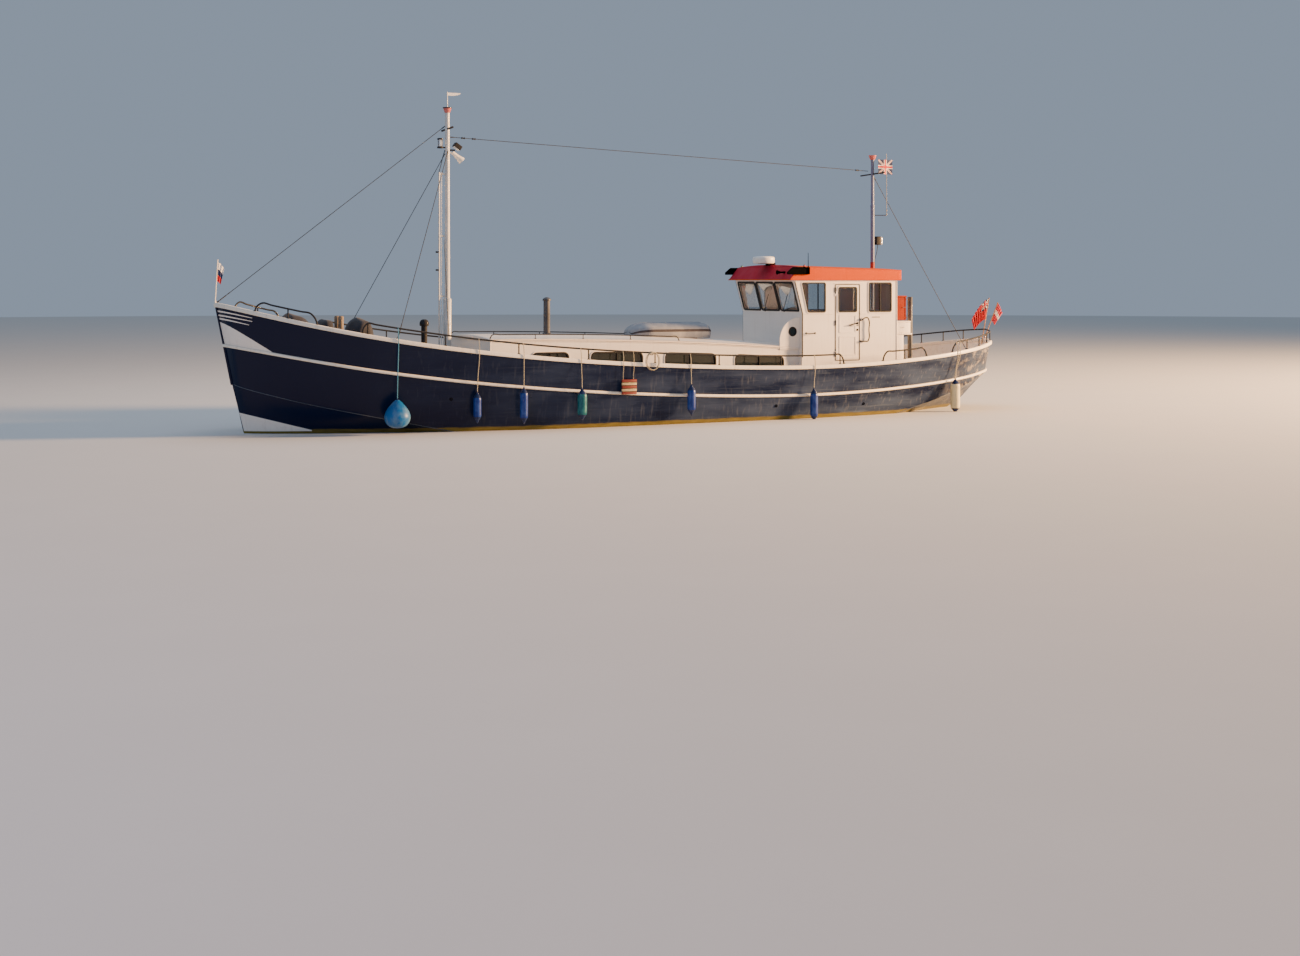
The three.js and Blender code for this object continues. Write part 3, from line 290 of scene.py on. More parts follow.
def make(name, form, finishes, body="root", replaces=(), slot=None, sharp=38.0):
    """Turns a form into a piece that rides on its body.

    A piece has one finish or several. A slot is worked out, the first finish's own unless one is given, but
    it is not kept.
    """
    finishes = [finishes] if isinstance(finishes, str) else finishes
    mesh = bpy.data.meshes.new(name)
    points, loops, sizes = (np.concatenate(part) for part in (form.points, form.loops, form.sizes))
    mesh.vertices.add(len(points))
    mesh.vertices.foreach_set("co", points.astype(np.float32).ravel())
    mesh.loops.add(len(loops))
    mesh.loops.foreach_set("vertex_index", loops.astype(np.int32))
    mesh.polygons.add(len(sizes))
    mesh.polygons.foreach_set("loop_start", np.concatenate([[0], np.cumsum(sizes)[:-1]]).astype(np.int32))
    mesh.polygons.foreach_set("material_index", np.concatenate(form.slots).astype(np.int32))
    mesh.polygons.foreach_set("use_smooth", np.ones(len(sizes), bool))
    layer = mesh.uv_layers.new(name="surface")
    mesh.update(calc_edges=True)
    layer.data.foreach_set("uv", np.concatenate(form.uvs).astype(np.float32).ravel())
    mesh.validate()
    mesh.set_sharp_from_angle(angle=math.radians(sharp))
    for finish in finishes:
        mesh.materials.append(material(finish))
    piece = bpy.data.objects.new(name, mesh)
    bpy.context.scene.collection.objects.link(piece)
    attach(piece, body)
    slot = slot or FINISHES[finishes[0]][0]
    if replaces:
        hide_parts(*replaces)
    return piece


def thicken(piece, thick, offset):
    """Gives a sheet its thickness, inward of it or to both sides."""
    solid = piece.modifiers.new("thickness", "SOLIDIFY")
    solid.thickness, solid.offset = thick, offset


def unit(vectors):
    return vectors / np.maximum(np.linalg.norm(vectors, axis=-1, keepdims=True), 1e-12)


def capped(rings):
    """Rings of points, each closed on its first point, with both ends drawn in to their middles."""
    rings = np.concatenate([rings, rings[:, :1]], 1)
    ends = [np.broadcast_to(rings[k, :-1].mean(0), rings[k].shape)[None] for k in (0, -1)]
    return np.concatenate([ends[0], rings, ends[1]])


def distances(path):
    """How far along the path each of its points lies."""
    return np.concatenate([[0], np.cumsum(np.linalg.norm(np.diff(path, axis=0), axis=1))])


def tube(path, radius, sides=10, about=None, closed=False):
    """A round bar: at each point of the path, a circle square to it.

    The circle's two axes are the cross products of the path's direction with a fixed one.
    """
    path = np.asarray(path, float)
    ahead = unit(np.gradient(path, axis=0))
    if closed:
        ahead[0] = ahead[-1] = unit(path[1] - path[-2])
    if about is None:
        about = np.eye(3)[np.abs(ahead).max(0).argmin()]
    side = unit(np.cross(ahead, about))
    up = np.cross(side, ahead)
    turn = np.arange(sides) * 2 * math.pi / sides
    radius = np.broadcast_to(np.asarray(radius, float), len(path))[:, None, None]
    rings = path[:, None] + radius * (
        np.cos(turn)[:, None] * side[:, None] + np.sin(turn)[:, None] * up[:, None]
    )
    grid = np.concatenate([rings, rings[:, :1]], 1) if closed else capped(rings)
    run = distances(path)
    if not closed:
        run = np.concatenate([[run[0]], run, [run[-1]]])
    around = np.arange(sides + 1) / sides
    return grid, xyz(around[None], run[:, None])


def turned(profile, origin, axis=(0, 0, 1), sides=24):
    """A body of revolution: each radius and height pair is a circle round the axis, and the ends close."""
    profile = np.asarray(profile, float)
    ends = [[[0, profile[k, 1]]] for k in (0, -1)]
    profile = np.concatenate([ends[0], profile, ends[1]])
    axis = unit(np.asarray(axis, float))
    side = unit(np.cross(axis, np.eye(3)[np.abs(axis).argmin()]))
    up = np.cross(axis, side)
    turn = np.linspace(0, 2 * math.pi, sides + 1)
    circle = np.cos(turn)[:, None] * side + np.sin(turn)[:, None] * up
    return np.asarray(origin, float) + profile[:, None, :1] * circle + profile[:, None, 1:] * axis


def lay(outline, depth, plane):
    """Plane points set in space: xz at a given y, xy at a given z, or yz at a given x."""
    u, v = outline[:, 0], outline[:, 1]
    w = np.full(len(outline), float(depth))
    return np.stack({"xz": (u, w, v), "xy": (u, v, w), "yz": (w, u, v)}[plane], 1)


def inset(outline, by):
    """The outline moved inward.

    Each corner goes along the mean of its two edges' normals, lengthened to keep the gap even.
    """
    ahead = unit(np.roll(outline, -1, 0) - outline)
    behind = np.roll(ahead, 1, 0)
    area = np.sum(outline[:, 0] * np.roll(outline[:, 1], -1) - np.roll(outline[:, 0], -1) * outline[:, 1])
    turn = math.copysign(1, area)
    normals = [turn * np.stack([-e[:, 1], e[:, 0]], 1) for e in (ahead, behind)]
    mean = unit(normals[0] + normals[1])
    long = 1 / np.maximum(np.sum(mean * normals[0], axis=1, keepdims=True), 0.3)
    return outline + by * mean * long


def rounded(corners, radii, steps=4):
    """A polygon whose corners are parabolas between points one radius back along both edges."""
    corners = np.asarray(corners, float)
    radii = np.broadcast_to(np.asarray(radii, float), len(corners))[:, None]
    back, ahead = unit(np.roll(corners, 1, 0) - corners), unit(np.roll(corners, -1, 0) - corners)
    t = np.linspace(0, 1, steps + 1)[None, :, None]
    start, end = (corners + radii * back)[:, None], (corners + radii * ahead)[:, None]
    curve = start * (1 - t) ** 2 + corners[:, None] * 2 * t * (1 - t) + end * t ** 2
    return curve.reshape(-1, 2)


def oblong(u0, u1, v0, v1, radii=0.01, steps=3):
    """A rectangle with rounded corners."""
    return rounded([(u0, v0), (u1, v0), (u1, v1), (u0, v1)], radii, steps)


def prism(outline, low, high, plane, edge=0.004):
    """An outline carried square to its plane, with its two rims taken in by a small chamfer."""
    small = inset(outline, edge)
    levels = [(small, low), (outline, low + edge), (outline, high - edge), (small, high)]
    return capped(np.stack([lay(points, at, plane) for points, at in levels]))


def block(x0, x1, y0, y1, z0, z1, edge=0.008):
    """A box with its corners rounded and its rims chamfered."""
    return prism(oblong(x0, x1, y0, y1, edge * 1.5, 2), z0, z1, "xy", edge)


def hoop(outer, inner, low, high, plane):
    """A flat frame between two outlines with equal numbers of points: four walls that meet all round."""
    rings = [
        lay(points, at, plane) for points, at in ((outer, low), (outer, high), (inner, high), (inner, low))
    ]
    rings.append(rings[0])
    grid = np.stack(rings)
    return np.concatenate([grid, grid[:, :1]], 1)


def smooth_path(points, count):
    """A curve through the points, with each stretch a cubic in the share of the whole chord length."""
    points = np.asarray(points, float)
    run = distances(points)
    at = np.linspace(0, run[-1], count)
    tilt = np.gradient(points, run, axis=0)
    i = np.clip(np.searchsorted(run, at, side="right") - 1, 0, len(points) - 2)
    h = (run[i + 1] - run[i])[:, None]
    t = (at - run[i])[:, None] / h
    return cubic(points, tilt, i, h, t)


def smooth_profile(points, count):
    """A smooth path through plane points."""
    return smooth_path(np.column_stack([points, np.zeros(len(points))]), count)[:, :2]


def belt(height, side, profile):
    """A profile of outward and upward offsets, carried along a level line of the hull."""
    line = side_points(height)
    out = outward(line)
    profile = np.asarray(profile, float)
    over = line[:, None, :2] + profile[None, :, :1] * out[:, None]
    over[0, :, 1] = over[-1, :, 1] = 0.0004
    z = line[:, None, 2] + profile[None, :, 1]
    rings = xyz(over[..., 0], side * over[..., 1], z)
    return capped(rings)


def skin_patch(corners, side, lift=0.002):
    """A thin painted area: a grid between four corners in x and z, laid on the hull's side."""
    a, b, c, d = np.asarray(corners, float)
    u, v = np.linspace(0, 1, 26)[:, None, None], np.linspace(0, 1, 8)[None, :, None]
    flat = (a * (1 - u) + b * u) * (1 - v) + (d * (1 - u) + c * u) * v
    y = hull_half(flat[..., 0], flat[..., 1])
    layers = [xyz(flat[..., 0], side * (y + by), flat[..., 1]) for by in (lift, -0.003)]
    return capped(np.concatenate([layers[0], layers[1][:, ::-1]], 1))


# Finishes


def node(tree, kind, settings=None, links=None):
    """Adds a shader node. Settings and links are keyed by a property or an input's name or number."""
    made = tree.nodes.new(kind)
    for key, value in (settings or {}).items():
        if isinstance(key, str) and hasattr(made, key):
            setattr(made, key, value)
        else:
            made.inputs[key].default_value = value
    for key, source in (links or {}).items():
        tree.links.new(source, made.inputs[key])
    return made


def rgba(colour):
    return (*(linear(colour) if isinstance(colour, str) else tuple(colour)), 1.0)


def new_material(name):
    made = bpy.data.materials.new(name)
    made.use_nodes = True
    made.node_tree.nodes.clear()
    return made, made.node_tree


def surface(made, settings, links, lift=None):
    """Closes a material with one principled shader and, where one is given, its bump."""
    tree = made.node_tree
    shader = node(tree, "ShaderNodeBsdfPrincipled", settings, links)
    node(tree, "ShaderNodeOutputMaterial", links={"Surface": shader.outputs["BSDF"]})
    if lift is not None:
        tree.links.new(lift.outputs["Normal"], shader.inputs["Normal"])
    return made


def bump(tree, strength, distance, height):
    return node(tree, "ShaderNodeBump", {"Strength": strength, "Distance": distance}, {"Height": height})


def coordinate(tree, kind="Object"):
    return node(tree, "ShaderNodeTexCoord").outputs[kind]


def axes(tree, vector):
    return node(tree, "ShaderNodeSeparateXYZ", links={"Vector": vector}).outputs


def noise(tree, stretch, scale, detail=4.0, rough=0.55):
    """Noise on the object's own coordinates; a small stretch number makes it long that way."""
    mapped = node(tree, "ShaderNodeMapping", {"Scale": stretch}, {"Vector": coordinate(tree)})
    settings = {"Scale": scale, "Detail": detail, "Roughness": rough}
    return node(tree, "ShaderNodeTexNoise", settings, {"Vector": mapped.outputs["Vector"]}).outputs["Fac"]


def within(tree, value, low, high, top=1.0):
    """The value spread from 0 at low to top at high, and held there."""
    spread = {"From Min": low, "From Max": high, "To Max": top}
    return node(tree, "ShaderNodeMapRange", spread, {"Value": value}).outputs["Result"]


def patches(tree, stretch, scale, low, high, top=1.0, detail=4.0, rough=0.55):
    """Noise cut into soft-edged patches between two of its values."""
    return within(tree, noise(tree, stretch, scale, detail, rough), low, high, top)


def blend(tree, share, first, second):
    """One colour laid over another; each is a hex code, three numbers or a socket."""
    settings, links = {"data_type": "RGBA"}, {0: share}
    for at, colour in ((6, first), (7, second)):
        if isinstance(colour, bpy.types.NodeSocket):
            links[at] = colour
        else:
            settings[at] = rgba(colour)
    return node(tree, "ShaderNodeMix", settings, links).outputs[2]


def calc(tree, operation, *values):
    """One operation on numbers and sockets."""
    made = node(tree, "ShaderNodeMath", {"operation": operation})
    for at, value in enumerate(values):
        if isinstance(value, bpy.types.NodeSocket):
            tree.links.new(value, made.inputs[at])
        else:
            made.inputs[at].default_value = value
    return made.outputs[0]


def times(tree, first, second):
    return calc(tree, "MULTIPLY", first, second)


def enamel(
    name, colour, rough=0.35, faded="#b9b2a4", fade=0.35, dirt="#6d6455", soil=0.25, rust=0.0, ripple=0.05,
    shine=0.5,
):
    """Brushed marine enamel on steel.

    A brushed coat keeps a soft gloss, chalks in broad patches and holds rain streaks.
    Chips show primer and rust.
    """
    made, tree = new_material(name)
    broad = patches(tree, (0.5, 0.5, 1.4), 1.1, 0.42, 0.72, fade)
    streak = patches(tree, (7.0, 7.0, 0.45), 2.2, 0.52, 0.74, soil, 5.0)
    tone = blend(tree, streak, blend(tree, broad, colour, faded), dirt)
    if rust:
        # Chips 20 to 60 mm across, drawn coarse enough to show.
        spot = patches(tree, (1.0, 1.0, 1.6), 11.0, 0.66 - 0.06 * rust, 0.70, 1.0, 6.0, 0.7)
        tone = blend(tree, times(tree, spot, min(1.0, rust)), tone, "#8a4a2a")
    gloss = patches(tree, (1.0, 1.0, 0.5), 3.0, 0.35, 0.7, 0.22)
    # Brush marks and plate waves, 60 mm apart.
    wave = bump(tree, ripple, 0.01, noise(tree, (1, 1, 1.5), 16.0, 2.0))
    coat = {"IOR": 1.5, "Specular IOR Level": shine, "Coat Weight": 0.3 * shine, "Coat Roughness": 0.12}
    return surface(made, coat, {"Base Color": tone, "Roughness": calc(tree, "ADD", gloss, rough)}, wave)


def hull_enamel(name, colour):
    """Hull enamel: dark at the bow, chalky and rubbed aft, with weed and lime at the waterline. Part of the
    lightening aft is painted sheen of low sun along the side.
    """
    made, tree = new_material(name)
    x, _, z = axes(tree, coordinate(tree))
    # From bow to stern the navy lightens: partly real chalk, partly painted sheen where low sun glances along
    # the aft side.
    aft = within(tree, x, -7.5, 9.0)
    chalk_and_sheen = times(tree, times(tree, patches(tree, (0.35, 0.5, 1.6), 1.3, 0.36, 0.70, 1.0, 5.0), aft), 0.78)
    scratch = patches(tree, (0.25, 0.6, 9.0), 2.6, 0.56, 0.74, 0.5, 6.0, 0.7)
    drip = patches(tree, (9.0, 9.0, 0.5), 1.7, 0.56, 0.76, 0.45, 5.0)
    tone = blend(tree, chalk_and_sheen, colour, "#51617c")
    tone = blend(tree, times(tree, scratch, aft), tone, "#707a84")
    tone = blend(tree, times(tree, drip, aft), tone, "#7f8183")
    # Sun-bleached rubs on the quarter, a hand's breadth and more.
    rub = patches(tree, (1.2, 1.2, 1.8), 2.6, 0.50, 0.62, 1.0, 6.0, 0.7)
    tone = blend(tree, times(tree, rub, within(tree, x, 8.4, 10.2, 0.75)), tone, "#b7a88f")
    # Weed and lime for the lowest 90 mm, with a ragged top.
    ragged = calc(tree, "MULTIPLY_ADD", noise(tree, (0.8, 0.8, 3.0), 3.0, 5.0), -0.07, z)
    weed = blend(tree, noise(tree, (0.7, 0.7, 6.0), 5.0), "#3a3412", "#94803a")
    tone = blend(tree, within(tree, ragged, 0.075, 0.045, 0.95), tone, weed)
    rough = calc(tree, "ADD", within(tree, chalk_and_sheen, 0.0, 0.5, 0.25), 0.22)
    wave = bump(tree, 0.10, 0.012, noise(tree, (0.5, 0.5, 1.0), 7.0, 3.0))
    coat = {"IOR": 1.45, "Specular IOR Level": 0.22, "Coat Weight": 0.05, "Coat Roughness": 0.15}
    return surface(made, coat, {"Base Color": tone, "Roughness": rough}, wave)


def timber(name, light, dark, stretch=(1.0, 9.0, 9.0), rough=0.35, coat=0.4):
    """Varnished hardwood: long grain lines 4 mm apart drawn at about 12 mm, under a clear coat."""
    made, tree = new_material(name)
    grain = noise(tree, stretch, 9.0, 6.0, 0.65)
    tone = blend(tree, within(tree, grain, 0.35, 0.68), dark, light)
    varnish = {"Roughness": rough, "IOR": 1.5, "Coat Weight": coat, "Coat Roughness": 0.1}
    return surface(made, varnish, {"Base Color": tone}, bump(tree, 0.15, 0.002, grain))


def metal(name, colour, worn, rough=0.4, metallic=1.0, grain=28.0):
    """Bare metal, weathered into dull and bright patches."""
    made, tree = new_material(name)
    patch = noise(tree, (1, 1, 1), grain, 5.0)
    tone = blend(tree, within(tree, patch, 0.4, 0.7), colour, worn)
    rough_at = calc(tree, "MULTIPLY_ADD", within(tree, patch, 0.3, 0.7), 0.2, rough - 0.1)
    return surface(made, {"Metallic": metallic}, {"Base Color": tone, "Roughness": rough_at})


def polymer(name, colour, scuff, rough=0.4, share=0.5, scale=9.0, shine=0.3):
    """Moulded vinyl, rubber or coated fabric: one even colour that scuffs and bleaches in patches."""
    made, tree = new_material(name)
    tone = blend(tree, patches(tree, (1, 1, 0.6), scale, 0.45, 0.72, share, 5.0, 0.6), colour, scuff)
    skin = bump(tree, 0.12, 0.004, noise(tree, (1, 1, 1), 60.0, 3.0))
    return surface(
        made, {"Roughness": rough, "IOR": 1.5, "Specular IOR Level": shine}, {"Base Color": tone}, skin,
    )


def rope_lay(name, colour, shade, turns=14.0, rough=0.85, metallic=0.0):
    """Laid rope or wire: strands wind round it, so bands run aslant across its own length and girth."""
    made, tree = new_material(name)
    around, along, _ = axes(tree, coordinate(tree, "UV"))
    slope = calc(tree, "MULTIPLY_ADD", along, turns, around)
    strand = calc(tree, "SINE", times(tree, slope, 6 * math.pi))
    # The groove between strands, where the bump is lowest, takes the darker colour: painted shade.
    tone = blend(tree, within(tree, strand, -0.9, 0.6), shade, colour)
    return surface(
        made, {"Roughness": rough, "Metallic": metallic}, {"Base Color": tone},
        bump(tree, 0.6, 0.003, strand),
    )


def woven(name, colour, shade, thread=0.012, rough=0.9, sheen=0.3):
    """Woven cloth: two sets of threads cross, 0.5 mm ones drawn at 12 mm so that they show."""
    made, tree = new_material(name)
    waves = [
        node(
            tree, "ShaderNodeTexWave", {"bands_direction": way, "Scale": 0.32 / thread, "Distortion": 0.4},
            {"Vector": coordinate(tree, "UV")},
        ).outputs["Fac"]
        for way in ("X", "Y")
    ]
    tone = blend(tree, patches(tree, (1, 1, 1), 7.0, 0.35, 0.7, 0.6), colour, shade)
    cloth = {"Roughness": rough, "Sheen Weight": sheen, "Sheen Roughness": 0.5}
    return surface(made, cloth, {"Base Color": tone}, bump(tree, 0.3, 0.002, times(tree, *waves)))


def glazing(name, tint, rough=0.02, through=1.0, smear=0.06):
    """Window glass with a film of salt that dulls it here and there."""
    made, tree = new_material(name)
    film = patches(tree, (1, 1, 0.5), 4.0, 0.45, 0.75, smear, 5.0)
    pane = {"Base Color": rgba(tint), "IOR": 1.45, "Transmission Weight": through, "Specular IOR Level": 0.6}
    return surface(made, pane, {"Roughness": calc(tree, "ADD", film, rough)})


def lens(name, colour):
    """Moulded acrylic lamp lens: clear colour with fine ribs."""
    made, tree = new_material(name)
    ribs = {"bands_direction": "Z", "Scale": 14.0}
    rib = node(tree, "ShaderNodeTexWave", ribs, {"Vector": coordinate(tree)}).outputs["Fac"]
    # The rib crests are whitened: a painted highlight.
    tone = blend(tree, within(tree, rib, 0.3, 0.8, 0.25), colour, "#ffffff")
    acrylic = {"Roughness": 0.12, "IOR": 1.49, "Transmission Weight": 0.25, "Coat Weight": 0.5}
    return surface(made, acrylic, {"Base Color": tone}, bump(tree, 0.3, 0.003, rib))


# Each finish: its usual slot, its kind, its colour (a code or a name on the panel) and its settings.
FINISHES = {
    "navy_hull_enamel": ("navy_paint", hull_enamel, "navy"),
    # A lighter navy for the chine beads: a painted highlight along the chine's knuckle.
    "rubbed_edge_enamel": ("navy_paint", enamel, "#2c3644", 0.4, "#5c6470", 0.5, "#7d776c", 0.4),
    "cream_cap_enamel": ("cream_paint", enamel, "cream", 0.32, "#fff8ea", 0.3, "#9a7a55", 0.22, 0.55),
    "white_deckhouse_enamel": ("white_paint", enamel, "white", 0.34, "#fff9ee", 0.35, "#b59a78", 0.16, 0.12),
    "orange_roof_enamel": (
        "orange_paint", enamel, "orange", 0.8, "#d45c00", 0.30, "#963400", 0.12, {"shine": 0.15},
    ),
    # A crimson copy of the roof's orange paint for the visor's front: painted shade, where the front faces
    # away from the sun.
    "crimson_visor_enamel": (
        "orange_paint", enamel, "#a81c30", 0.6, "#b83448", 0.30, "#7e1424", 0.12, {"shine": 0.15},
    ),
    "black_rail_enamel": ("black_paint", enamel, "black", 0.7, "#1a1718", 0.3, "#2e2420", 0.2, 0.2),
    "sooty_stove_enamel": ("black_paint", enamel, "#3a3a3e", 0.55, "#62605e", 0.5, "#1c1a1a", 0.5, 0.3),
    "grey_mast_enamel": ("grey_paint", enamel, "mast", 0.4, "#ece8de", 0.4, "#8c8578", 0.3),
    "blue_grey_mast_enamel": ("grey_paint", enamel, "#6a7088", 0.4, "#8d92a4", 0.35, "#4c4e5c", 0.25),
    "non_slip_deck_paint": ("grey_paint", enamel, "deck", 0.75, "#a3a198", 0.5, "#5c5a54", 0.5, 0.2, 0.5),
    "red_antifouling": ("underwater_paint", enamel, "bottom", 0.8, "#5b3a33", 0.5, "#3c4028", 0.45, 0.0, 0.3),
    "salmon_locker_enamel": (
        "salmon_paint", enamel, "locker", 0.7, "#a84a2c", 0.4, "#6e2c1a", 0.2, {"shine": 0.15},
    ),
    "rust_red_enamel": ("salmon_paint", enamel, "#8c2317", 0.5, "#a8503c", 0.3, "#4a1a12", 0.3),
    "cast_bronze": ("bronze", metal, "#8c6b3a", "#5f6b4a", 0.38, 1.0, 18.0),
    "stainless_steel": ("grey_paint", metal, "#c9cacb", "#a5a6a8", 0.22, 1.0, 40.0),
    "weathered_steel": ("grey_paint", metal, "#5c5c60", "#87878a", 0.5, 0.7, 30.0),
    "varnished_mahogany": ("varnished_wood", timber, "#8c5128", "#4e2712"),
    "varnished_ash_staff": ("staff_wood", timber, "#c08a4e", "#8a5a2c", (9.0, 9.0, 1.0)),
    "red_painted_slats": ("step_wood", timber, "#8a2a1c", "#5e1810", (1.0, 9.0, 9.0), 0.6, 0.0),
    "cream_painted_slats": ("step_wood", timber, "#cdbd94", "#93815a", (1.0, 9.0, 9.0), 0.6, 0.0),
    "weathered_post_wood": ("weathered_wood", timber, "#a8957c", "#6c5844", (9.0, 9.0, 1.0), 0.8, 0.0),
    "blue_fender_vinyl": ("blue_vinyl", polymer, "blue_fender", "#4a6cb0", 0.35),
    "navy_fender_vinyl": ("blue_vinyl", polymer, "#17264e", "#33466f", 0.35),
    "teal_fender_vinyl": ("teal_vinyl", polymer, "teal_fender", "#5aa8a0", 0.35),
    "buff_fender_vinyl": ("buff_vinyl", polymer, "buff_fender", "#b0a077", 0.4),
    "sky_buoy_vinyl": ("sky_vinyl", polymer, "sky_buoy", "#7d9aa6", 0.4, 0.7, 4.0),
    "coated_tender_fabric": ("tender_rubber", polymer, "tender", "#c6c0b4", 0.5, 0.5, 3.0),
    "dark_strake_rubber": ("tender_rubber", polymer, "#3b3436", "#5d5654", 0.6, 0.4),
    "window_rubber": ("black_paint", polymer, "#0a090c", "#1e1c20", 0.55, 0.4, 14.0),
    "black_moulded_plastic": ("black_paint", polymer, "#020202", "#0c0b0c", 0.8, 0.3, 14.0, 0.03),
    "white_moulded_plastic": ("cream_paint", polymer, "#ece9e2", "#c9c3b6", 0.35, 0.4, 8.0),
    "polyester_rope": ("wire_rope", rope_lay, "#d9cdb0", "#8d7f60", 9.0),
    "blue_polyester_rope": ("wire_rope", rope_lay, "#5fa3bd", "#2a6379", 9.0),
    "galvanised_wire_rope": ("wire_rope", rope_lay, "#3a3a3c", "#161618", 12.0, 0.6, 0.3),
    "red_bunting": ("flag_cloth", woven, "ensign", "#7c1119"),
    "navy_bunting": ("flag_cloth", woven, "#1b2c5c", "#101a3a"),
    "white_bunting": ("flag_cloth", woven, "#f2ede4", "#b9b2ad"),
    "pink_bunting": ("flag_cloth", woven, "#d8465a", "#a82038"),
    "weathered_canvas": ("canvas_cover", woven, "canvas", "#2e2d36", 0.02, 0.8, 0.1),
    "clear_float_glass": ("black_paint", glazing, "#e0e2e1", 0.01, 1.0, 0.02),
    "smoked_cabin_glass": ("black_paint", glazing, "#2b3434", 0.03, 0.55),
    "red_lamp_lens": ("black_paint", lens, "#d23a24"),
    "green_lamp_lens": ("black_paint", lens, "#1c8a4a"),
    "clear_lamp_lens": ("grey_paint", lens, "#dfe6e8"),
    "pale_stage_paint": (None, enamel, "#dcdad6", 0.9, "#e4e2de", 0.2, "#d2d0cb", 0.1, 0.0, 0.0, 0.0),
}


def material(name):
    """The finish of this name, which is made when it is first asked for."""
    found = bpy.data.materials.get(name)
    if found:
        return found
    _, kind, colour, *rest = FINISHES[name]
    if not colour.startswith("#"):
        colour = getattr(bpy.context.scene.barge_colours, colour)
    named = rest.pop() if rest and isinstance(rest[-1], dict) else {}
    return kind(name, colour, *rest, **named)


def dress(node_name, finish):
    """Gives a CAD node that stays its finish."""
    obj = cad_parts[node_name]
    obj.data.materials.clear()
    obj.data.materials.append(material(finish))
    obj.data.polygons.foreach_set("material_index", np.zeros(len(obj.data.polygons), np.int32))


# Lines that several pieces share

CAP_LINE = side_points(cap_height)
RAIL_LINE = CAP_LINE[:, :2] + outward(CAP_LINE) * (CAP["out"] + CAP["inner"]) / 2
FENDERS = {
    # x, bottom, top, radius, finish
    "fender_1": (-4.855, 0.200, 0.925, 0.095, "blue_fender_vinyl"),
    "fender_2": (-3.790, 0.155, 1.010, 0.095, "blue_fender_vinyl"),
    "fender_3": (-2.370, 0.190, 0.950, 0.115, "teal_fender_vinyl"),
    "fender_4": (0.500, 0.210, 0.965, 0.105, "blue_fender_vinyl"),
    "fender_5": (3.980, -0.060, 0.780, 0.100, "blue_fender_vinyl"),
    "fender_stern": (8.690, -0.050, 0.870, 0.130, "buff_fender_vinyl"),
}
BALL = {"x": -6.700, "bottom": 0.146, "top": 0.800, "r": 0.290}
STEP = {"x": -1.150, "half": 0.190, "low": 0.765, "high": 1.120}
MAST = {"x": -4.810, "top": 7.900, "r": 0.066, "head": 0.450}
AFT_MAST = {"x": 7.190, "r": 0.052}
HOUSE = {"fwd": 4.080, "aft": 6.950, "half": 1.500, "sill": 2.610, "rake": 0.277}
TRUNK = {"fwd": -4.250, "aft": 4.079, "half": 1.350, "roof_half": 1.385, "slab": 0.040, "camber": 0.080}


def on_rail(x, side, up):
    """Points over the middle of the cap rail."""
    x = np.asarray(x, float)
    y = np.interp(x, RAIL_LINE[:, 0], np.maximum(RAIL_LINE[:, 1], 0))
    return xyz(x, side * y, cap_height(x) + up)


def cap_edge(x, out=0.0):
    """How far from the centreline the cap rail's outer edge lies."""
    return float(cap_half(x)) + CAP["out"] + out


def hang_y(x, top, radius):
    """A fender hangs where the strake pushes it: its axis is a radius outside whatever it touches."""
    strake = float(hull_half(x, strake_height(x) + STRAKE["high"], LINES)) + STRAKE["out"]
    beside = strake if strake_height(x) - STRAKE["high"] < top else float(hull_half(x, top, LINES))
    return max(beside + radius + 0.004, strake + 0.014)


def lanyard_path(x, y, top, lean=0.0):
    """From the rail pipe, over the cap rail's outer edge and down to a fender's eye."""
    pipe = on_rail(x + lean, -1, RAIL_UP)
    edge = -cap_edge(x, 0.013)
    cap = float(cap_height(x))
    points = [
        pipe + (0, -0.020, 0.010), pipe + (0, -0.036, -0.030), (x + lean * 0.6, edge, cap + 0.030),
        (x + lean * 0.5, edge - 0.002, cap - 0.050), (x + lean * 0.4, edge, cap - 0.110),
        (x, (edge - 3 * y) / 4, (top * 2.2 + cap) / 3.2), (x, -y, top - 0.006),
    ]
    return smooth_path(points, 26)


class Piece:
    """What every operator of this add-on shares."""

    bl_options = {"REGISTER", "UNDO"}

    def execute(self, context):
        self.build(context.scene.barge_sizes)
        return {"FINISHED"}


class BARGE_OT_camera(Piece, bpy.types.Operator):
    """A level camera off the port bow, shifted down so that uprights stay upright"""

    bl_idname = "barge.camera"
    bl_label = "Camera"

    def build(self, sizes):
        data = bpy.data.cameras.new("camera")
        data.lens, data.sensor_width, data.shift_y = 50.0, 36.0, -0.1515
        data.clip_end = 500
        camera = bpy.data.objects.new("camera", data)
        camera.location = (-19.70, -40.33, 3.42)
        camera.rotation_euler = (math.radians(90), 0, math.radians(-26.67))
        bpy.context.scene.collection.objects.link(camera)
        bpy.context.scene.camera = camera


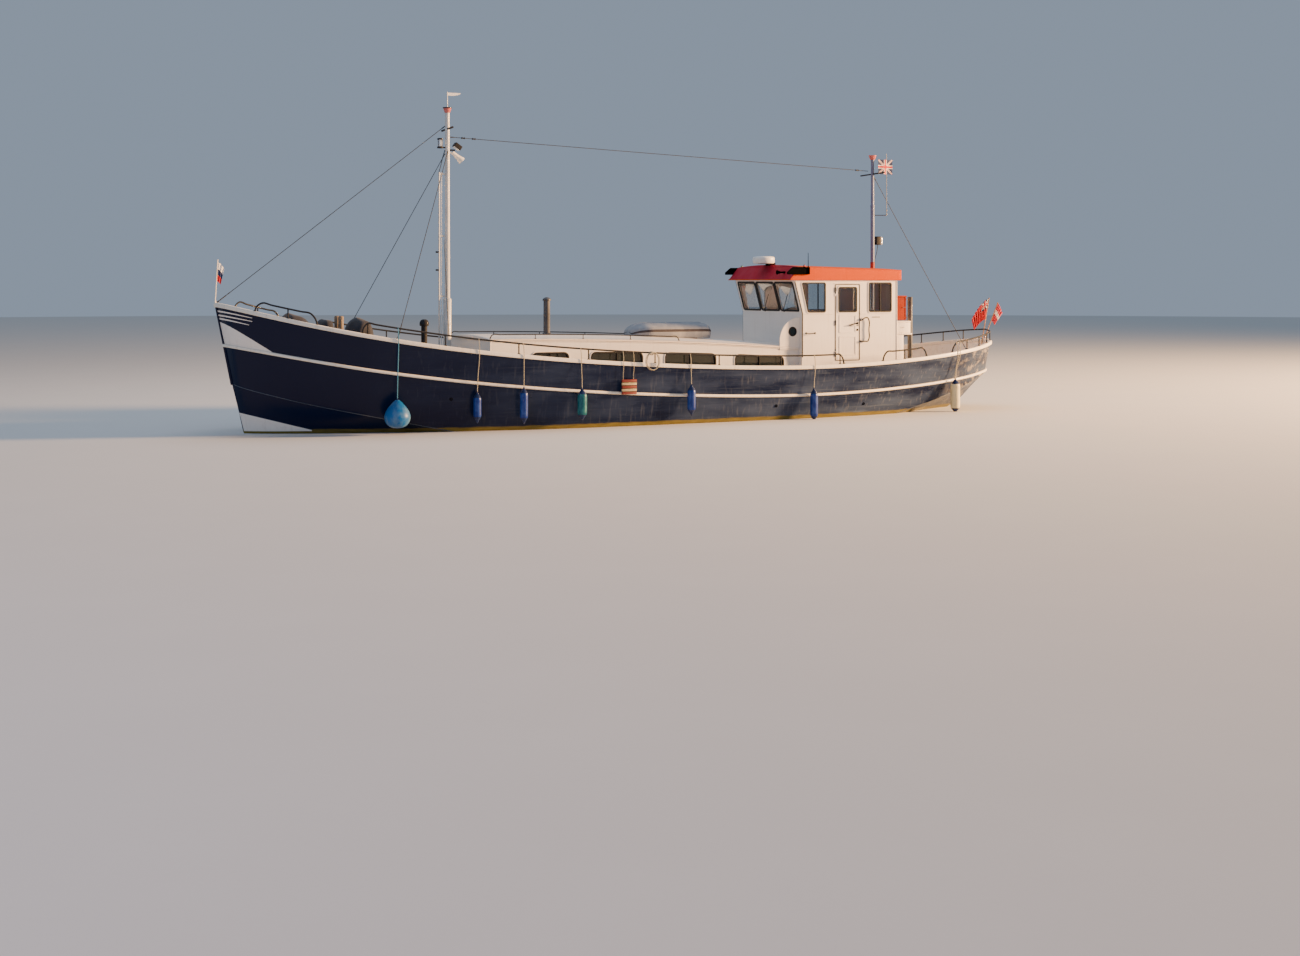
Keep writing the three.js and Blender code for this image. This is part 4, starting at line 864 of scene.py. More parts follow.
class BARGE_OT_cords(Piece, bpy.types.Operator):
    """Fender lanyards, the step's two ropes and a coil of line on the rail"""

    bl_idname = "barge.cords"
    bl_label = "Ropes"

    def rope(self, name, path, thick, far_end, lay, finish="polyester_rope", with_pieces=()):
        grid, uv = tube(path, thick / 2, 8)
        piece = make(name, Form().add(grid, uv=uv), finish)

    def build(self, sizes):
        thick = sizes.lanyard
        for name, (x, _, top, radius, _) in FENDERS.items():
            y = hang_y(x, top, radius)
            leans = (-0.05, 0.06) if name == "fender_stern" else (0.0,)
            for count, lean in enumerate(leans):
                offset = math.copysign(0.014, lean) if lean else 0.0
                self.rope(
                    f"lanyard_{name[7:]}_{count}", lanyard_path(x + offset, y, top, lean), thick, "object",
                    "taut",
                )
        y = hang_y(BALL["x"], BALL["top"], BALL["r"])
        path = lanyard_path(BALL["x"], y, BALL["top"])
        self.rope("lanyard_ball", path, thick * 1.2, "object", "taut", "blue_polyester_rope")
        for count, by in enumerate((-0.135, 0.135)):
            x = STEP["x"] + by
            back = float(hull_half(x, strake_height(x) + STRAKE["high"])) + STRAKE["out"] + 0.030
            self.rope(
                f"step_rope_{count}", lanyard_path(x, back, STEP["high"] - 0.010), 0.014, "object", "taut",
            )
        self.coil()

    def coil(self):
        """Five long loops hung from the rail; each loop is an ellipse one rope outside the last."""
        thick, turns, middle = 0.013, 5, -0.55
        rail = float(cap_height(middle)) + RAIL_UP
        turn = np.linspace(0, turns * 2 * math.pi, turns * 26)
        share = turn / turn[-1]
        z = rail - 0.195 + (0.21 + 0.006 * np.sin(3 * turn / 5)) * np.cos(turn)
        x = middle + (0.165 + 0.012 * np.cos(turn / 5)) * np.sin(turn) + 0.02 * share
        out = cap_edge(middle, 0.016) + share * turns * (thick + 0.0005)
        path = xyz(x, -out, z)
        hitch = np.array([
            on_rail(middle, -1, RAIL_UP) + (0, -0.012, 0.026),
            (middle, -cap_edge(middle, 0.006), rail + 0.030),
        ])
        path = smooth_path(np.concatenate([hitch, path[1:]]), turns * 40)
        # The tie goes three times round the pipe and the hitch.
        near = on_rail(middle, -1, RAIL_UP) + (0, 0, -0.004)
        far = np.array([middle, -cap_edge(middle, 0.05), rail - 0.02])
        wraps = np.linspace(0, 3 * 2 * math.pi, 90)
        centre = (near + far) / 2
        half = np.array([0.0, abs(near[1] - far[1]) / 2 + 0.034, 0.040])
        tie = xyz(
            centre[0] - 0.022 + 0.044 * wraps / wraps[-1], centre[1] + half[1] * np.cos(wraps),
            centre[2] + half[2] * np.sin(wraps),
        )
        band, uv = tube(tie, 0.006, 8, about=np.array([1.0, 0, 0]))
        tied = make("coil_tie", Form().add(band, uv=uv), "polyester_rope")
        self.rope("rail_coil", path, thick, "knot", "coiled", with_pieces=[tied])


class BARGE_OT_hull(Piece, bpy.types.Operator):
    """Plating with its bulwark and deck, the chine and stem bars and the painted bow marks"""

    bl_idname = "barge.hull"
    bl_label = "Hull"

    def build(self, sizes):
        self.plating(sizes)
        self.bars()
        self.marks()

    def plating(self, sizes):
        """Each station's ring runs keel, chine, cap, inner bulwark, deck, and back down the other side.

        Between frames the side is drawn in by a sine squared of the length, as welded plate is.
        """
        wall = 0.040
        cx, _, hx, hy, hz, kx, kz = ROWS.T
        out = outward(CAP_LINE)
        top = ROW_CAP - 0.070
        keel, chine = xyz(kx, 0, kz), xyz(hx, hy, hz)
        bottom = [keel + (chine - keel) * t for t in np.linspace(0, 1, 7)[:-1]]
        side = []
        for t in np.linspace(0, 1, 15):
            point = side_at(hz + (top - hz) * t)
            frames = np.sin(math.pi * point[:, 0] / sizes.frame_space) ** 2
            dent = sizes.plate_wave * frames * math.sin(math.pi * t) ** 0.8
            side.append(point - np.concatenate([out * dent[:, None], 0 * dent[:, None]], 1))
        inner = []
        for t in np.linspace(0, 1, 5):
            x = cx
            # The side leans, so a point's x and height are found in three steps.
            for _ in range(3):
                z = top + (deck_height(x) - top) * t
                point = side_at(z)
                x = point[:, 0]
            point[:, :2] -= out * wall
            inner.append(point)
        deck = [inner[-1] * (1, 1 - t, 1) for t in (0.15, 0.5, 1.0)]
        half = np.stack(bottom + side + inner + deck, 1)
        half[..., 1] = np.maximum(half[..., 1], 0)
        half[[0, -1], :, 1] = 0
        grid = np.concatenate([half, half[:, ::-1][:, 1:] * (1, -1, 1)], 1)
        around = grid.shape[1] - 1
        slots = np.zeros((len(ROWS) - 1, around), int)
        wall_at = len(bottom) + len(side)
        slots[:, wall_at:wall_at + 4] = 1
        slots[:, wall_at + 4:around - wall_at - 4] = 2
        slots[:, around - wall_at - 4:around - wall_at] = 1
        make(
            "hull_plating", Form().add(grid, slots=slots),
            ["navy_hull_enamel", "cream_cap_enamel", "non_slip_deck_paint"],
            replaces=("hull", "bulwark_port", "bulwark_starboard"), sharp=25,
        )

    def bars(self):
        for name, side in SIDES.items():
            chine = ROWS[2:-2, 2:5] * (1, side, 1)
            grid, uv = tube(chine, 0.009, 8)
            # The beads are a lighter navy than the plating: a painted highlight along the knuckle.
            make(f"chine_bead_{name}", Form().add(grid, uv=uv), "rubbed_edge_enamel")
        form = Form().bar((-9.915, 0, 1.10), (-10.262, 0, float(cap_height(-10.29)) - 0.10), 20, 0.034, 12)
        form.bar((10.752, 0, 1.05), (10.878, 0, 1.64), 12, 0.026, 12)
        make("stem_and_stern_bars", form, "navy_hull_enamel")

    def marks(self):
        """White corners and pinstripes at the bow, and the hull's outlets."""
        patches = [
            [(-10.085, 2.000), (-9.228, 1.822), (-9.230, 1.832), (-10.204, 2.516)],
            [(-9.651, 0.053), (-8.314, 0.060), (-8.320, 0.084), (-9.755, 0.467)],
        ]
        stripes = (
            ((-10.244, 2.767), (-9.680, 2.610)), ((-10.234, 2.677), (-9.674, 2.534)),
            ((-10.207, 2.600), (-9.725, 2.456)),
        )
        for (x0, z0), (x1, z1) in stripes:
            patches.append([(x0, z0 - 0.035), (x1, z1 - 0.012), (x1, z1), (x0, z0)])
        marks = Form()
        for side in SIDES.values():
            for patch in patches:
                marks.add(skin_patch(patch, side, 0.003))
        make("bow_marks", marks, "white_deckhouse_enamel", slot="cream_paint")
        outlets = Form()
        for x, z in ((3.0, 0.35), (5.7, 0.31), (-5.4, 0.75)):
            y = float(hull_half(x, z))
            for side in SIDES.values():
                outlets.turn(
                    [
                        (0.020, -0.03), (0.034, -0.03), (0.036, 0.010), (0.030, 0.014), (0.020, 0.010),
                        (0.019, -0.02),
                    ],
                    (x, side * y, z), (0, side, 0), 20,
                )
        make("hull_outlets", outlets, "black_moulded_plastic")


class BARGE_OT_belts(Piece, bpy.types.Operator):
    """Cap rails and rubbing strakes"""

    bl_idname = "barge.belts"
    bl_label = "Cap rails and strakes"

    def build(self, sizes):
        high, out, inner = CAP["high"], CAP["out"], CAP["inner"]
        cap = rounded([(inner, -high), (out, -high), (out, 0), (inner, 0)], (0.008, 0.018, 0.030, 0.022), 4)
        half, far = STRAKE["high"] / 2, STRAKE["out"]
        strake = rounded(
            [(-0.012, -half), (far - 0.012, -half), (far, 0), (far - 0.012, half), (-0.012, half)],
            (0.004, 0.022, 0.020, 0.022, 0.004), 4,
        )
        for name, side in SIDES.items():
            make(
                f"cap_rail_round_{name}", Form().add(belt(cap_height, side, cap)), "cream_cap_enamel",
                replaces=(f"cap_rail_{name}",),
            )
            make(
                f"strake_round_{name}", Form().add(belt(strake_height, side, strake)), "cream_cap_enamel",
                replaces=(f"strake_{name}",),
            )


class BARGE_OT_rails(Piece, bpy.types.Operator):
    """Pipe rails with bent ends, posts and foot flanges"""

    bl_idname = "barge.rails"
    bl_label = "Pipe rails"

    def rail(self, name, side, x0, x1, posts, up, sizes, replaces=(), slope=0.12):
        """One pipe: up from its foot, along the hull's edge and down again."""
        run = on_rail(np.linspace(x0, x1, max(6, int((x1 - x0) * 6))), side, up)
        fore = [on_rail(x0 - slope, side, -0.01), on_rail(x0 - slope * 0.75, side, up * 0.5)]
        aft = [on_rail(x1 + slope * 0.75, side, up * 0.5), on_rail(x1 + slope, side, -0.01)]
        path = smooth_path(np.concatenate([fore, run, aft]), 40 + int((x1 - x0) * 14))
        form = Form().pipe(path, sizes.rail, 12)
        self.posts(form, [on_rail(x, side, 0) for x in posts], up, sizes)
        for x in (x0 - slope, x1 + slope):
            self.flange(form, on_rail(x, side, 0))
        make(name, form, "black_rail_enamel", replaces=replaces)

    def flange(self, form, foot):
        form.turn([(0.034, -0.006), (0.038, 0.002), (0.034, 0.010), (0.020, 0.016)], foot, sides=16)

    def posts(self, form, feet, up, sizes):
        for foot in feet:
            form.bar(foot - (0, 0, 0.01), foot + (0, 0, up), 4, sizes.rail * 0.78, 10)
            self.flange(form, foot)

    def build(self, sizes):
        for name, side in SIDES.items():
            posts = np.linspace(-7.35, 4.76, 8)
            self.rail(f"side_rail_{name}", side, -7.35, 4.76, posts, RAIL_UP, sizes, (f"rail_{name}",))
            self.rail(f"bow_rail_{name}", side, -9.50, -8.55, (-9.0,), 0.215, sizes, slope=0.14)
            self.rail(f"quarter_rail_{name}", side, 6.23, 7.40, (6.80,), 0.225, sizes, slope=0.14)
        self.stern(sizes)

    def stern(self, sizes):
        up, start = RAIL_UP, 8.68
        aft = RAIL_LINE[:, 0] > start
        line = np.column_stack([RAIL_LINE[aft], cap_height(CAP_LINE[aft, 0]) + up])
        line[:, 1] = np.maximum(line[:, 1], 0)
        legs = {}
        for name, side in SIDES.items():
            legs[name] = [on_rail(start - 0.20, side, -0.01), on_rail(start - 0.15, side, up * 0.5)]
        path = np.concatenate([
            legs["port"], line[:-1:3] * (1, -1, 1), line[-1:], line[:-1:3][::-1], legs["starboard"][::-1],
        ])
        form = Form().pipe(smooth_path(path, 150), sizes.rail, 12)
        feet = [on_rail(x, side, 0) for x in (9.10, 9.70, 10.20, 10.60) for side in SIDES.values()]
        self.posts(form, feet, up, sizes)
        for side in SIDES.values():
            self.flange(form, on_rail(start - 0.20, side, 0))
        make("stern_rail_bent", form, "black_rail_enamel", replaces=("rail_stern",))


def opening(outline, wall, side, name, glass, body="root", bar=()):
    """A window in a flat side: an outer bead, a rubber channel and a pane, all set square to Y."""
    proud = 0.014
    outer, mid, inner = (inset(outline, by) for by in (-0.040, -0.018, 0.016))
    y = [side * (wall + by) for by in (-0.004, proud, proud + 0.004, -0.022, -0.028)]
    edge = Form().hoop(outer, mid, y[0], y[1], "xz")
    make(f"{name}_bead", edge, "white_deckhouse_enamel", body)
    seal = Form().hoop(mid, inner, y[0], y[2], "xz")
    for x in bar:
        z = outline[:, 1]
        seal.prism(
            oblong(x - 0.012, x + 0.012, z.min() + 0.01, z.max() - 0.01, 0.004), *sorted((y[3], y[1])), "xz",
            0.002,
        )
    make(f"{name}_seal", seal, "window_rubber", body)
    pane = Form().prism(inset(outline, 0.004), *sorted((y[3], y[4])), "xz", 0.001)
    make(f"{name}_pane", pane, glass, body)


class BARGE_OT_trunk(Piece, bpy.types.Operator):
    """The long trunk cabin: crowned roof, handrails and framed windows"""

    bl_idname = "barge.trunk"
    bl_label = "Trunk cabin"

    def build(self, sizes):
        for name in ("trunk_side_port", "trunk_side_starboard", "trunk_front"):
            dress(name, "white_deckhouse_enamel")
        self.roof()
        self.trim(sizes)

    def roof(self):
        """The roof's section is a flat arch: a rounded edge, then a parabola of the crown's height across."""
        half, slab, camber = TRUNK["roof_half"], TRUNK["slab"], TRUNK["camber"]
        nose, soft, flat = 0.025, 0.022, np.linspace(half - 0.05, -half + 0.05, 41)
        turn = np.linspace(0, math.pi / 2, 5)
        inward, ahead = 1 - np.sin(turn), 1 - np.cos(turn)
        x = np.concatenate([TRUNK["fwd"] - 0.035 + nose * ahead, np.linspace(-4.20, TRUNK["aft"], 70)])
        draw = np.concatenate([nose * inward, np.zeros(70)])
        y = np.concatenate([half - soft * inward, flat, soft * inward[::-1] - half])
        rise = camber * (1 - (y / half) ** 2)
        rim = -soft * np.concatenate([ahead[::-1], 0 * flat, ahead])
        top = np.stack([y, rise + rim], 1)
        under = np.array([
            (-half, -slab + 0.006), (-half + 0.006, -slab), (half - 0.006, -slab), (half, -slab + 0.006),
        ])
        section = np.concatenate([top, under])
        z = trunk_edge(np.maximum(x, TRUNK["fwd"]))
        centre = np.array([0, -slab / 2 + 0.02])
        rings = np.stack([
            np.column_stack([
                np.full(len(section), xi), centre + (section - centre) * ((half - d) / half, 1 - d * 12),
            ])
            + (0, 0, zi)
            for xi,
            zi, d in zip(x, z, draw)
        ])
        make(
            "trunk_roof_arched", Form().add(capped(rings)), "white_deckhouse_enamel",
            replaces=("trunk_roof",), sharp=32,
        )
        rails = Form()
        for side in SIDES.values():
            posts = np.array([-4.15, -3.11, -1.88, -0.63, 0.59])
            run = np.linspace(posts[0] - 0.03, posts[-1] + 0.03, 30)
            y_at = side * (half - 0.070)

            def at(xs, up):
                xs = np.asarray(xs, float)
                return xyz(xs, y_at, trunk_edge(xs) + camber * (1 - (y_at / half) ** 2) + up)

            path = np.concatenate([
                at([run[0] - 0.07], -0.01), at([run[0] - 0.05], 0.05), at(run, 0.098),
                at([run[-1] + 0.05], 0.05), at([run[-1] + 0.07], -0.01),
            ])
            rails.pipe(smooth_path(path, 110), 0.013, 10)
            for x in posts[1:-1]:
                rails.bar(at(x, -0.01), at(x, 0.098), 3, 0.010, 8)
                rails.turn([(0.024, -0.004), (0.028, 0.004), (0.014, 0.012)], at(x, 0), sides=14)
        make("roof_handrails", rails, "black_rail_enamel")

    def trim(self, sizes):
        band = {"fwd": 0.345, "aft": 0.255}
        for name, side in SIDES.items():
            for count, (x0, x1) in enumerate(((-3.20, -2.28), (-1.68, -0.33), (0.30, 1.68), (2.24, 3.62))):
                low = [float(deck_height(x)) + 0.110 for x in (x0, x1)]
                drop = [
                    band["fwd"]
                    + (band["aft"] - band["fwd"]) * (x - TRUNK["fwd"]) / (TRUNK["aft"] - TRUNK["fwd"])
                    for x in (x0, x1)
                ]
                high = [float(trunk_edge(x)) - d for x, d in zip((x0, x1), drop)]
                corners = [(x0, low[0]), (x1, low[1]), (x1, high[1]), (x0, high[0])]
                r = sizes.window_corner
                outline = rounded(corners, (0.05, 0.05, r, r), 6)
                opening(
                    outline, TRUNK["half"], side, f"trunk_window_{name}_{count}", "smoked_cabin_glass",
                    bar=[(x0 + x1) / 2],
                )
            # A drip bead under the roof and a toe batten on the deck
            x = np.linspace(TRUNK["fwd"], TRUNK["aft"] - 0.01, 60)
            bead = xyz(x, side * (TRUNK["half"] + 0.006), trunk_edge(x) - TRUNK["slab"] - 0.020)
            toe = xyz(x, side * (TRUNK["half"] + 0.004), deck_height(x) + 0.030)
            form = Form().pipe(bead, 0.012, 8).pipe(toe, 0.016, 8)
            corner = TRUNK["fwd"] - 0.002, side * (TRUNK["half"] - 0.006)
            form.bar((*corner, 1.45), (*corner, 2.03), 4, 0.014, 10)
            make(f"trunk_trim_{name}", form, "white_deckhouse_enamel")


class BARGE_OT_wheelhouse(Piece, bpy.types.Operator):
    """Wheelhouse walls, windows, doors, wing plates and the helm inside"""

    bl_idname = "barge.wheelhouse"
    bl_label = "Wheelhouse"

    def build(self, sizes):
        for name in (
            "wheelhouse_side_port", "wheelhouse_side_starboard", "wheelhouse_front", "wheelhouse_aft",
            "door_port", "door_starboard",
        ):
            dress(name, "white_deckhouse_enamel")
        dress("wheelhouse_floor", "varnished_mahogany")
        self.side_windows()
        self.front_windows()
        self.doors()
        self.wings()
        self.trim()
        self.helm()

    def side_windows(self):
        glass = "clear_float_glass"
        for name, side in SIDES.items():
            fore = rounded([(4.255, 2.640), (4.760, 2.640), (4.760, 3.370), (4.080, 3.370)], 0.045, 5)
            opening(fore, HOUSE["half"], side, f"fore_pane_{name}", glass)
            aft = oblong(6.085, 6.760, 2.640, 3.370, 0.045, 5)
            opening(aft, HOUSE["half"], side, f"aft_pane_{name}", glass, bar=[6.42])
            door = oblong(5.165, 5.700, 2.640, 3.255, 0.045, 5)
            opening(door, HOUSE["half"], side, f"door_pane_{name}", glass, f"door_{name}")

    def raked(self, grid):
        """Leans what stands at x = 0 with the front: x falls steadily as z rises above the sill."""
        lean = HOUSE["fwd"] - (grid[..., 2] - HOUSE["sill"]) * HOUSE["rake"]
        return grid + xyz(lean, 0, 0)

    def front_windows(self):
        beads, seals, panes = Form(), Form(), Form()
        for middle in (-0.95, 0.0, 0.95):
            outline = oblong(middle - 0.43, middle + 0.43, 2.68, 3.37, 0.045, 5)
            outer, mid, inner = (inset(outline, by) for by in (-0.036, -0.016, 0.014))
            beads.add(self.raked(hoop(outer, mid, -0.014, 0.004, "yz")))
            seals.add(self.raked(hoop(mid, inner, -0.018, 0.004, "yz")))
            panes.add(self.raked(prism(inset(outline, 0.004), 0.018, 0.024, "yz", 0.001)))
        for y in (-0.95, 0.0):
            arm = np.array([(-0.040, y + 0.30, 2.66), (-0.036, y + 0.10, 2.86), (-0.024, y - 0.10, 3.08)])
            seals.add(self.raked(tube(arm, 0.007, 8)[0]))
            seals.add(self.raked(turned(
                [(0.022, -0.03), (0.026, 0.0), (0.018, 0.012)], (-0.012, y + 0.30, 2.655), (-1, 0, 0), 14,
            )))
        make("front_beads", beads, "window_rubber")
        make("front_seals_and_wipers", seals, "window_rubber")
        make("front_panes", panes, "clear_float_glass")
        outline = oblong(-0.50, 0.50, 2.64, 3.37, 0.045, 5)
        x = HOUSE["aft"]
        make(
            "aft_bead",
            Form().hoop(inset(outline, -0.036), inset(outline, -0.016), x - 0.004, x + 0.014, "yz"),
            "white_deckhouse_enamel",
        )
        make(
            "aft_seal",
            Form().hoop(inset(outline, -0.016), inset(outline, 0.014), x - 0.004, x + 0.018, "yz"),
            "window_rubber",
        )
        make(
            "aft_pane", Form().prism(inset(outline, 0.004), x - 0.028, x - 0.022, "yz", 0.001),
            "clear_float_glass",
        )

    def doors(self):
        for name, side in SIDES.items():
            out = side * HOUSE["half"]
            panel = Form()
            for z0, z1 in ((1.53, 2.02), (2.10, 2.56)):
                outline = oblong(5.180, 5.690, z0, z1, 0.02, 3)
                panel.hoop(outline, inset(outline, 0.030), out - side * 0.002, out + side * 0.010, "xz")
            panel.prism(
                oblong(5.12, 5.745, 1.440, 1.505, 0.008), *sorted((out - side * 0.002, out + side * 0.006)),
                "xz", 0.002,
            )
            make(f"door_mouldings_{name}", panel, "white_deckhouse_enamel", f"door_{name}")
            lever = Form()
            lever.turn(
                [(0.026, -0.002), (0.028, 0.006), (0.016, 0.012), (0.0125, 0.036), (0.0125, 0.044)],
                (5.725, out, 2.345), (0, side, 0), 18,
            )
            grip = smooth_path(
                [
                    (5.738, out + side * 0.047, 2.352), (5.66, out + side * 0.048, 2.336),
                    (5.56, out + side * 0.047, 2.312), (5.46, out + side * 0.044, 2.292),
                ],
                14,
            )
            lever.pipe(grip, 0.0125, 10)
            for z in (2.30, 2.18):
                lever.block(
                    5.690, 5.755, *sorted((out - side * 0.002, out + side * 0.012)), z - 0.030, z + 0.020,
                    0.004,
                )
            make(f"door_lever_{name}", lever, "black_moulded_plastic", f"door_{name}")

    def wings(self):
        """On the port side, a quarter-round plate beside the trunk's end, with a porthole."""
        x0, r = HOUSE["fwd"] - 0.0003, 0.570
        turn = np.radians(np.linspace(180, 90, 25))
        arc = np.stack([x0 + r * np.cos(turn), 1.930 + r * np.sin(turn)], 1)
        outline = np.concatenate([[(x0, 1.700), (x0 - r, 1.700)], arc])
        hole_at = np.array([3.880, 2.150])
        name, side = "port", SIDES["port"]
        y = sorted((side * 1.355, side * 1.375))
        # Outline and hole points pair up by angle as seen from the porthole.
        run = np.concatenate([outline, outline[:1]])
        steps = distances(run)
        at = np.linspace(0, steps[-1], 97)[:-1]
        at[np.abs(at[:, None] - steps[None, :3]).argmin(0)] = steps[:3]
        dense = np.stack([np.interp(at, steps, run[:, k]) for k in (0, 1)], 1)
        way = unit(dense - hole_at)
        form = Form().hoop(dense, hole_at + 0.098 * way, y[0], y[1], "xz")
        form.pipe(xyz(arc[:, 0] + 0.004, (y[0] + y[1]) / 2, arc[:, 1] - 0.004), 0.013, 8)
        make(f"wing_plate_{name}", form, "white_deckhouse_enamel", replaces=(f"wing_{name}",))
        ring = [
            (0.084, 0.010), (0.084, -0.016), (0.092, -0.022), (0.118, -0.018), (0.124, -0.006),
            (0.120, 0.010), (0.096, 0.014),
        ]
        place = (hole_at[0], side * 1.365, hole_at[1])
        closed = np.array(ring + ring[:1])
        turn_all = np.linspace(0, 2 * math.pi, 41)
        circle = xyz(np.cos(turn_all), 0, np.sin(turn_all))
        torus = np.array(place) + closed[:, None, :1] * circle + closed[:, None, 1:] * np.array([0, -side, 0])
        make(f"porthole_ring_{name}", Form().add(torus), "window_rubber")
        glass = turned([(0.088, -0.003), (0.088, 0.003)], place, (0, 1, 0), 40)
        make(f"porthole_glass_{name}", Form().add(glass), "smoked_cabin_glass")

    def trim(self):
        """Corner beads, a sill bead, gutter, grab handles and the drain hose down each forward corner."""
        white, black = Form(), Form()
        for side in SIDES.values():
            y = side * (HOUSE["half"] + 0.002)
            for x0, x1 in ((4.10, 5.04), (5.82, 6.94)):
                sill = xyz(np.linspace(x0, x1, 12), y, 2.585)
                white.pipe(sill, 0.009, 8)
            white.pipe([(5.03, y, 3.352), (5.40, y + side * 0.012, 3.360), (5.84, y, 3.352)], 0.012, 8)
            z = np.linspace(1.25, 3.42, 8)
            white.pipe(xyz(6.935, y, z), 0.013, 10)
            # The hose follows the raked corner and then hangs plumb.
            z = np.concatenate([np.linspace(3.41, 2.62, 10), np.linspace(2.56, 1.50, 8)])
            hose = HOUSE["fwd"] + 0.012 - np.clip(z - HOUSE["sill"], 0, None) * HOUSE["rake"]
            black.pipe(smooth_path(xyz(hose, y, z), 40), 0.014, 10)
            # A wide D-shaped handle beside the door, with its straight ends on the frame
            near, far = y + side * 0.045, y + side * 0.055
            handle = smooth_path(
                [
                    (5.812, y, 2.420), (5.83, near, 2.425), (5.93, far, 2.480), (6.01, far, 2.480),
                    (6.045, far, 2.42), (6.045, far, 2.18), (6.045, far, 1.95), (6.01, far, 1.885),
                    (5.94, far, 1.880), (5.83, near, 1.882), (5.812, y, 1.884),
                ],
                70,
            )
            black.pipe(handle, 0.016, 10)
            bar = smooth_path(
                [(4.20, y, 2.105), (4.21, near, 2.105), (4.45, near, 2.105), (4.46, y, 2.105)], 26,
            )
            black.pipe(bar, 0.010, 10)
            for x, z in ((5.812, 2.42), (5.812, 1.884), (4.20, 2.105), (4.46, 2.105)):
                black.turn([(0.024, -0.002), (0.026, 0.005), (0.016, 0.010)], (x, y, z), (0, side, 0), 14)
            black.pipe([(6.18, y + side * 0.004, 2.496), (6.415, y + side * 0.004, 2.496)], 0.009, 8)
            # The door's gasket, just outside the leaf
            door = oblong(5.076, 5.789, 1.411, 3.329, 0.030, 5)
            black.hoop(door, inset(door, -0.016), y - side * 0.004, y + side * 0.006, "xz")
            for z in (3.194, 2.352, 1.560):
                black.block(
                    5.040, 5.082, *sorted((y - side * 0.003, y + side * 0.016)), z - 0.064, z + 0.064, 0.004,
                )
        make("house_beads", white, "white_deckhouse_enamel")
        make("house_handles", black, "black_rail_enamel")

    def helm(self):
        """A six-spoked wheel: turned spokes with handgrips through a round-edged rim."""
        centre, form = np.array([4.800, 0, 2.060]), Form()
        turn = np.linspace(0, 2 * math.pi, 49)
        rim = centre + 0.352 * xyz(0, np.cos(turn), np.sin(turn))
        form.pipe(rim, 0.016, 12, about=np.array([1.0, 0, 0]), closed=True)
        form.turn(
            [(0.030, -0.045), (0.045, -0.03), (0.045, 0.01), (0.030, 0.028), (0.012, 0.032)], centre,
            (1, 0, 0), 24,
        )
        spoke = [
            (0.013, 0.02), (0.010, 0.08), (0.014, 0.14), (0.010, 0.20), (0.014, 0.27), (0.011, 0.33),
            (0.012, 0.355),
        ]
        for a in np.arange(6) * math.pi / 3:
            form.turn(spoke, centre, (0, math.cos(a), math.sin(a)), 12)
        make("helm_wheel_turned", form, "varnished_mahogany", "helm", ("helm_wheel",))
        panel = Form()
        for y, r in ((-0.42, 0.055), (-0.26, 0.045), (-0.12, 0.045), (0.26, 0.055), (0.42, 0.045)):
            panel.turn(
                [(r, -0.004), (r, 0.014), (r - 0.010, 0.020), (r - 0.012, 0.010)], (4.40, y, 2.236),
                (0.26, 0, 0.965), 24,
            )
        make("helm_gauges", panel, "black_moulded_plastic")


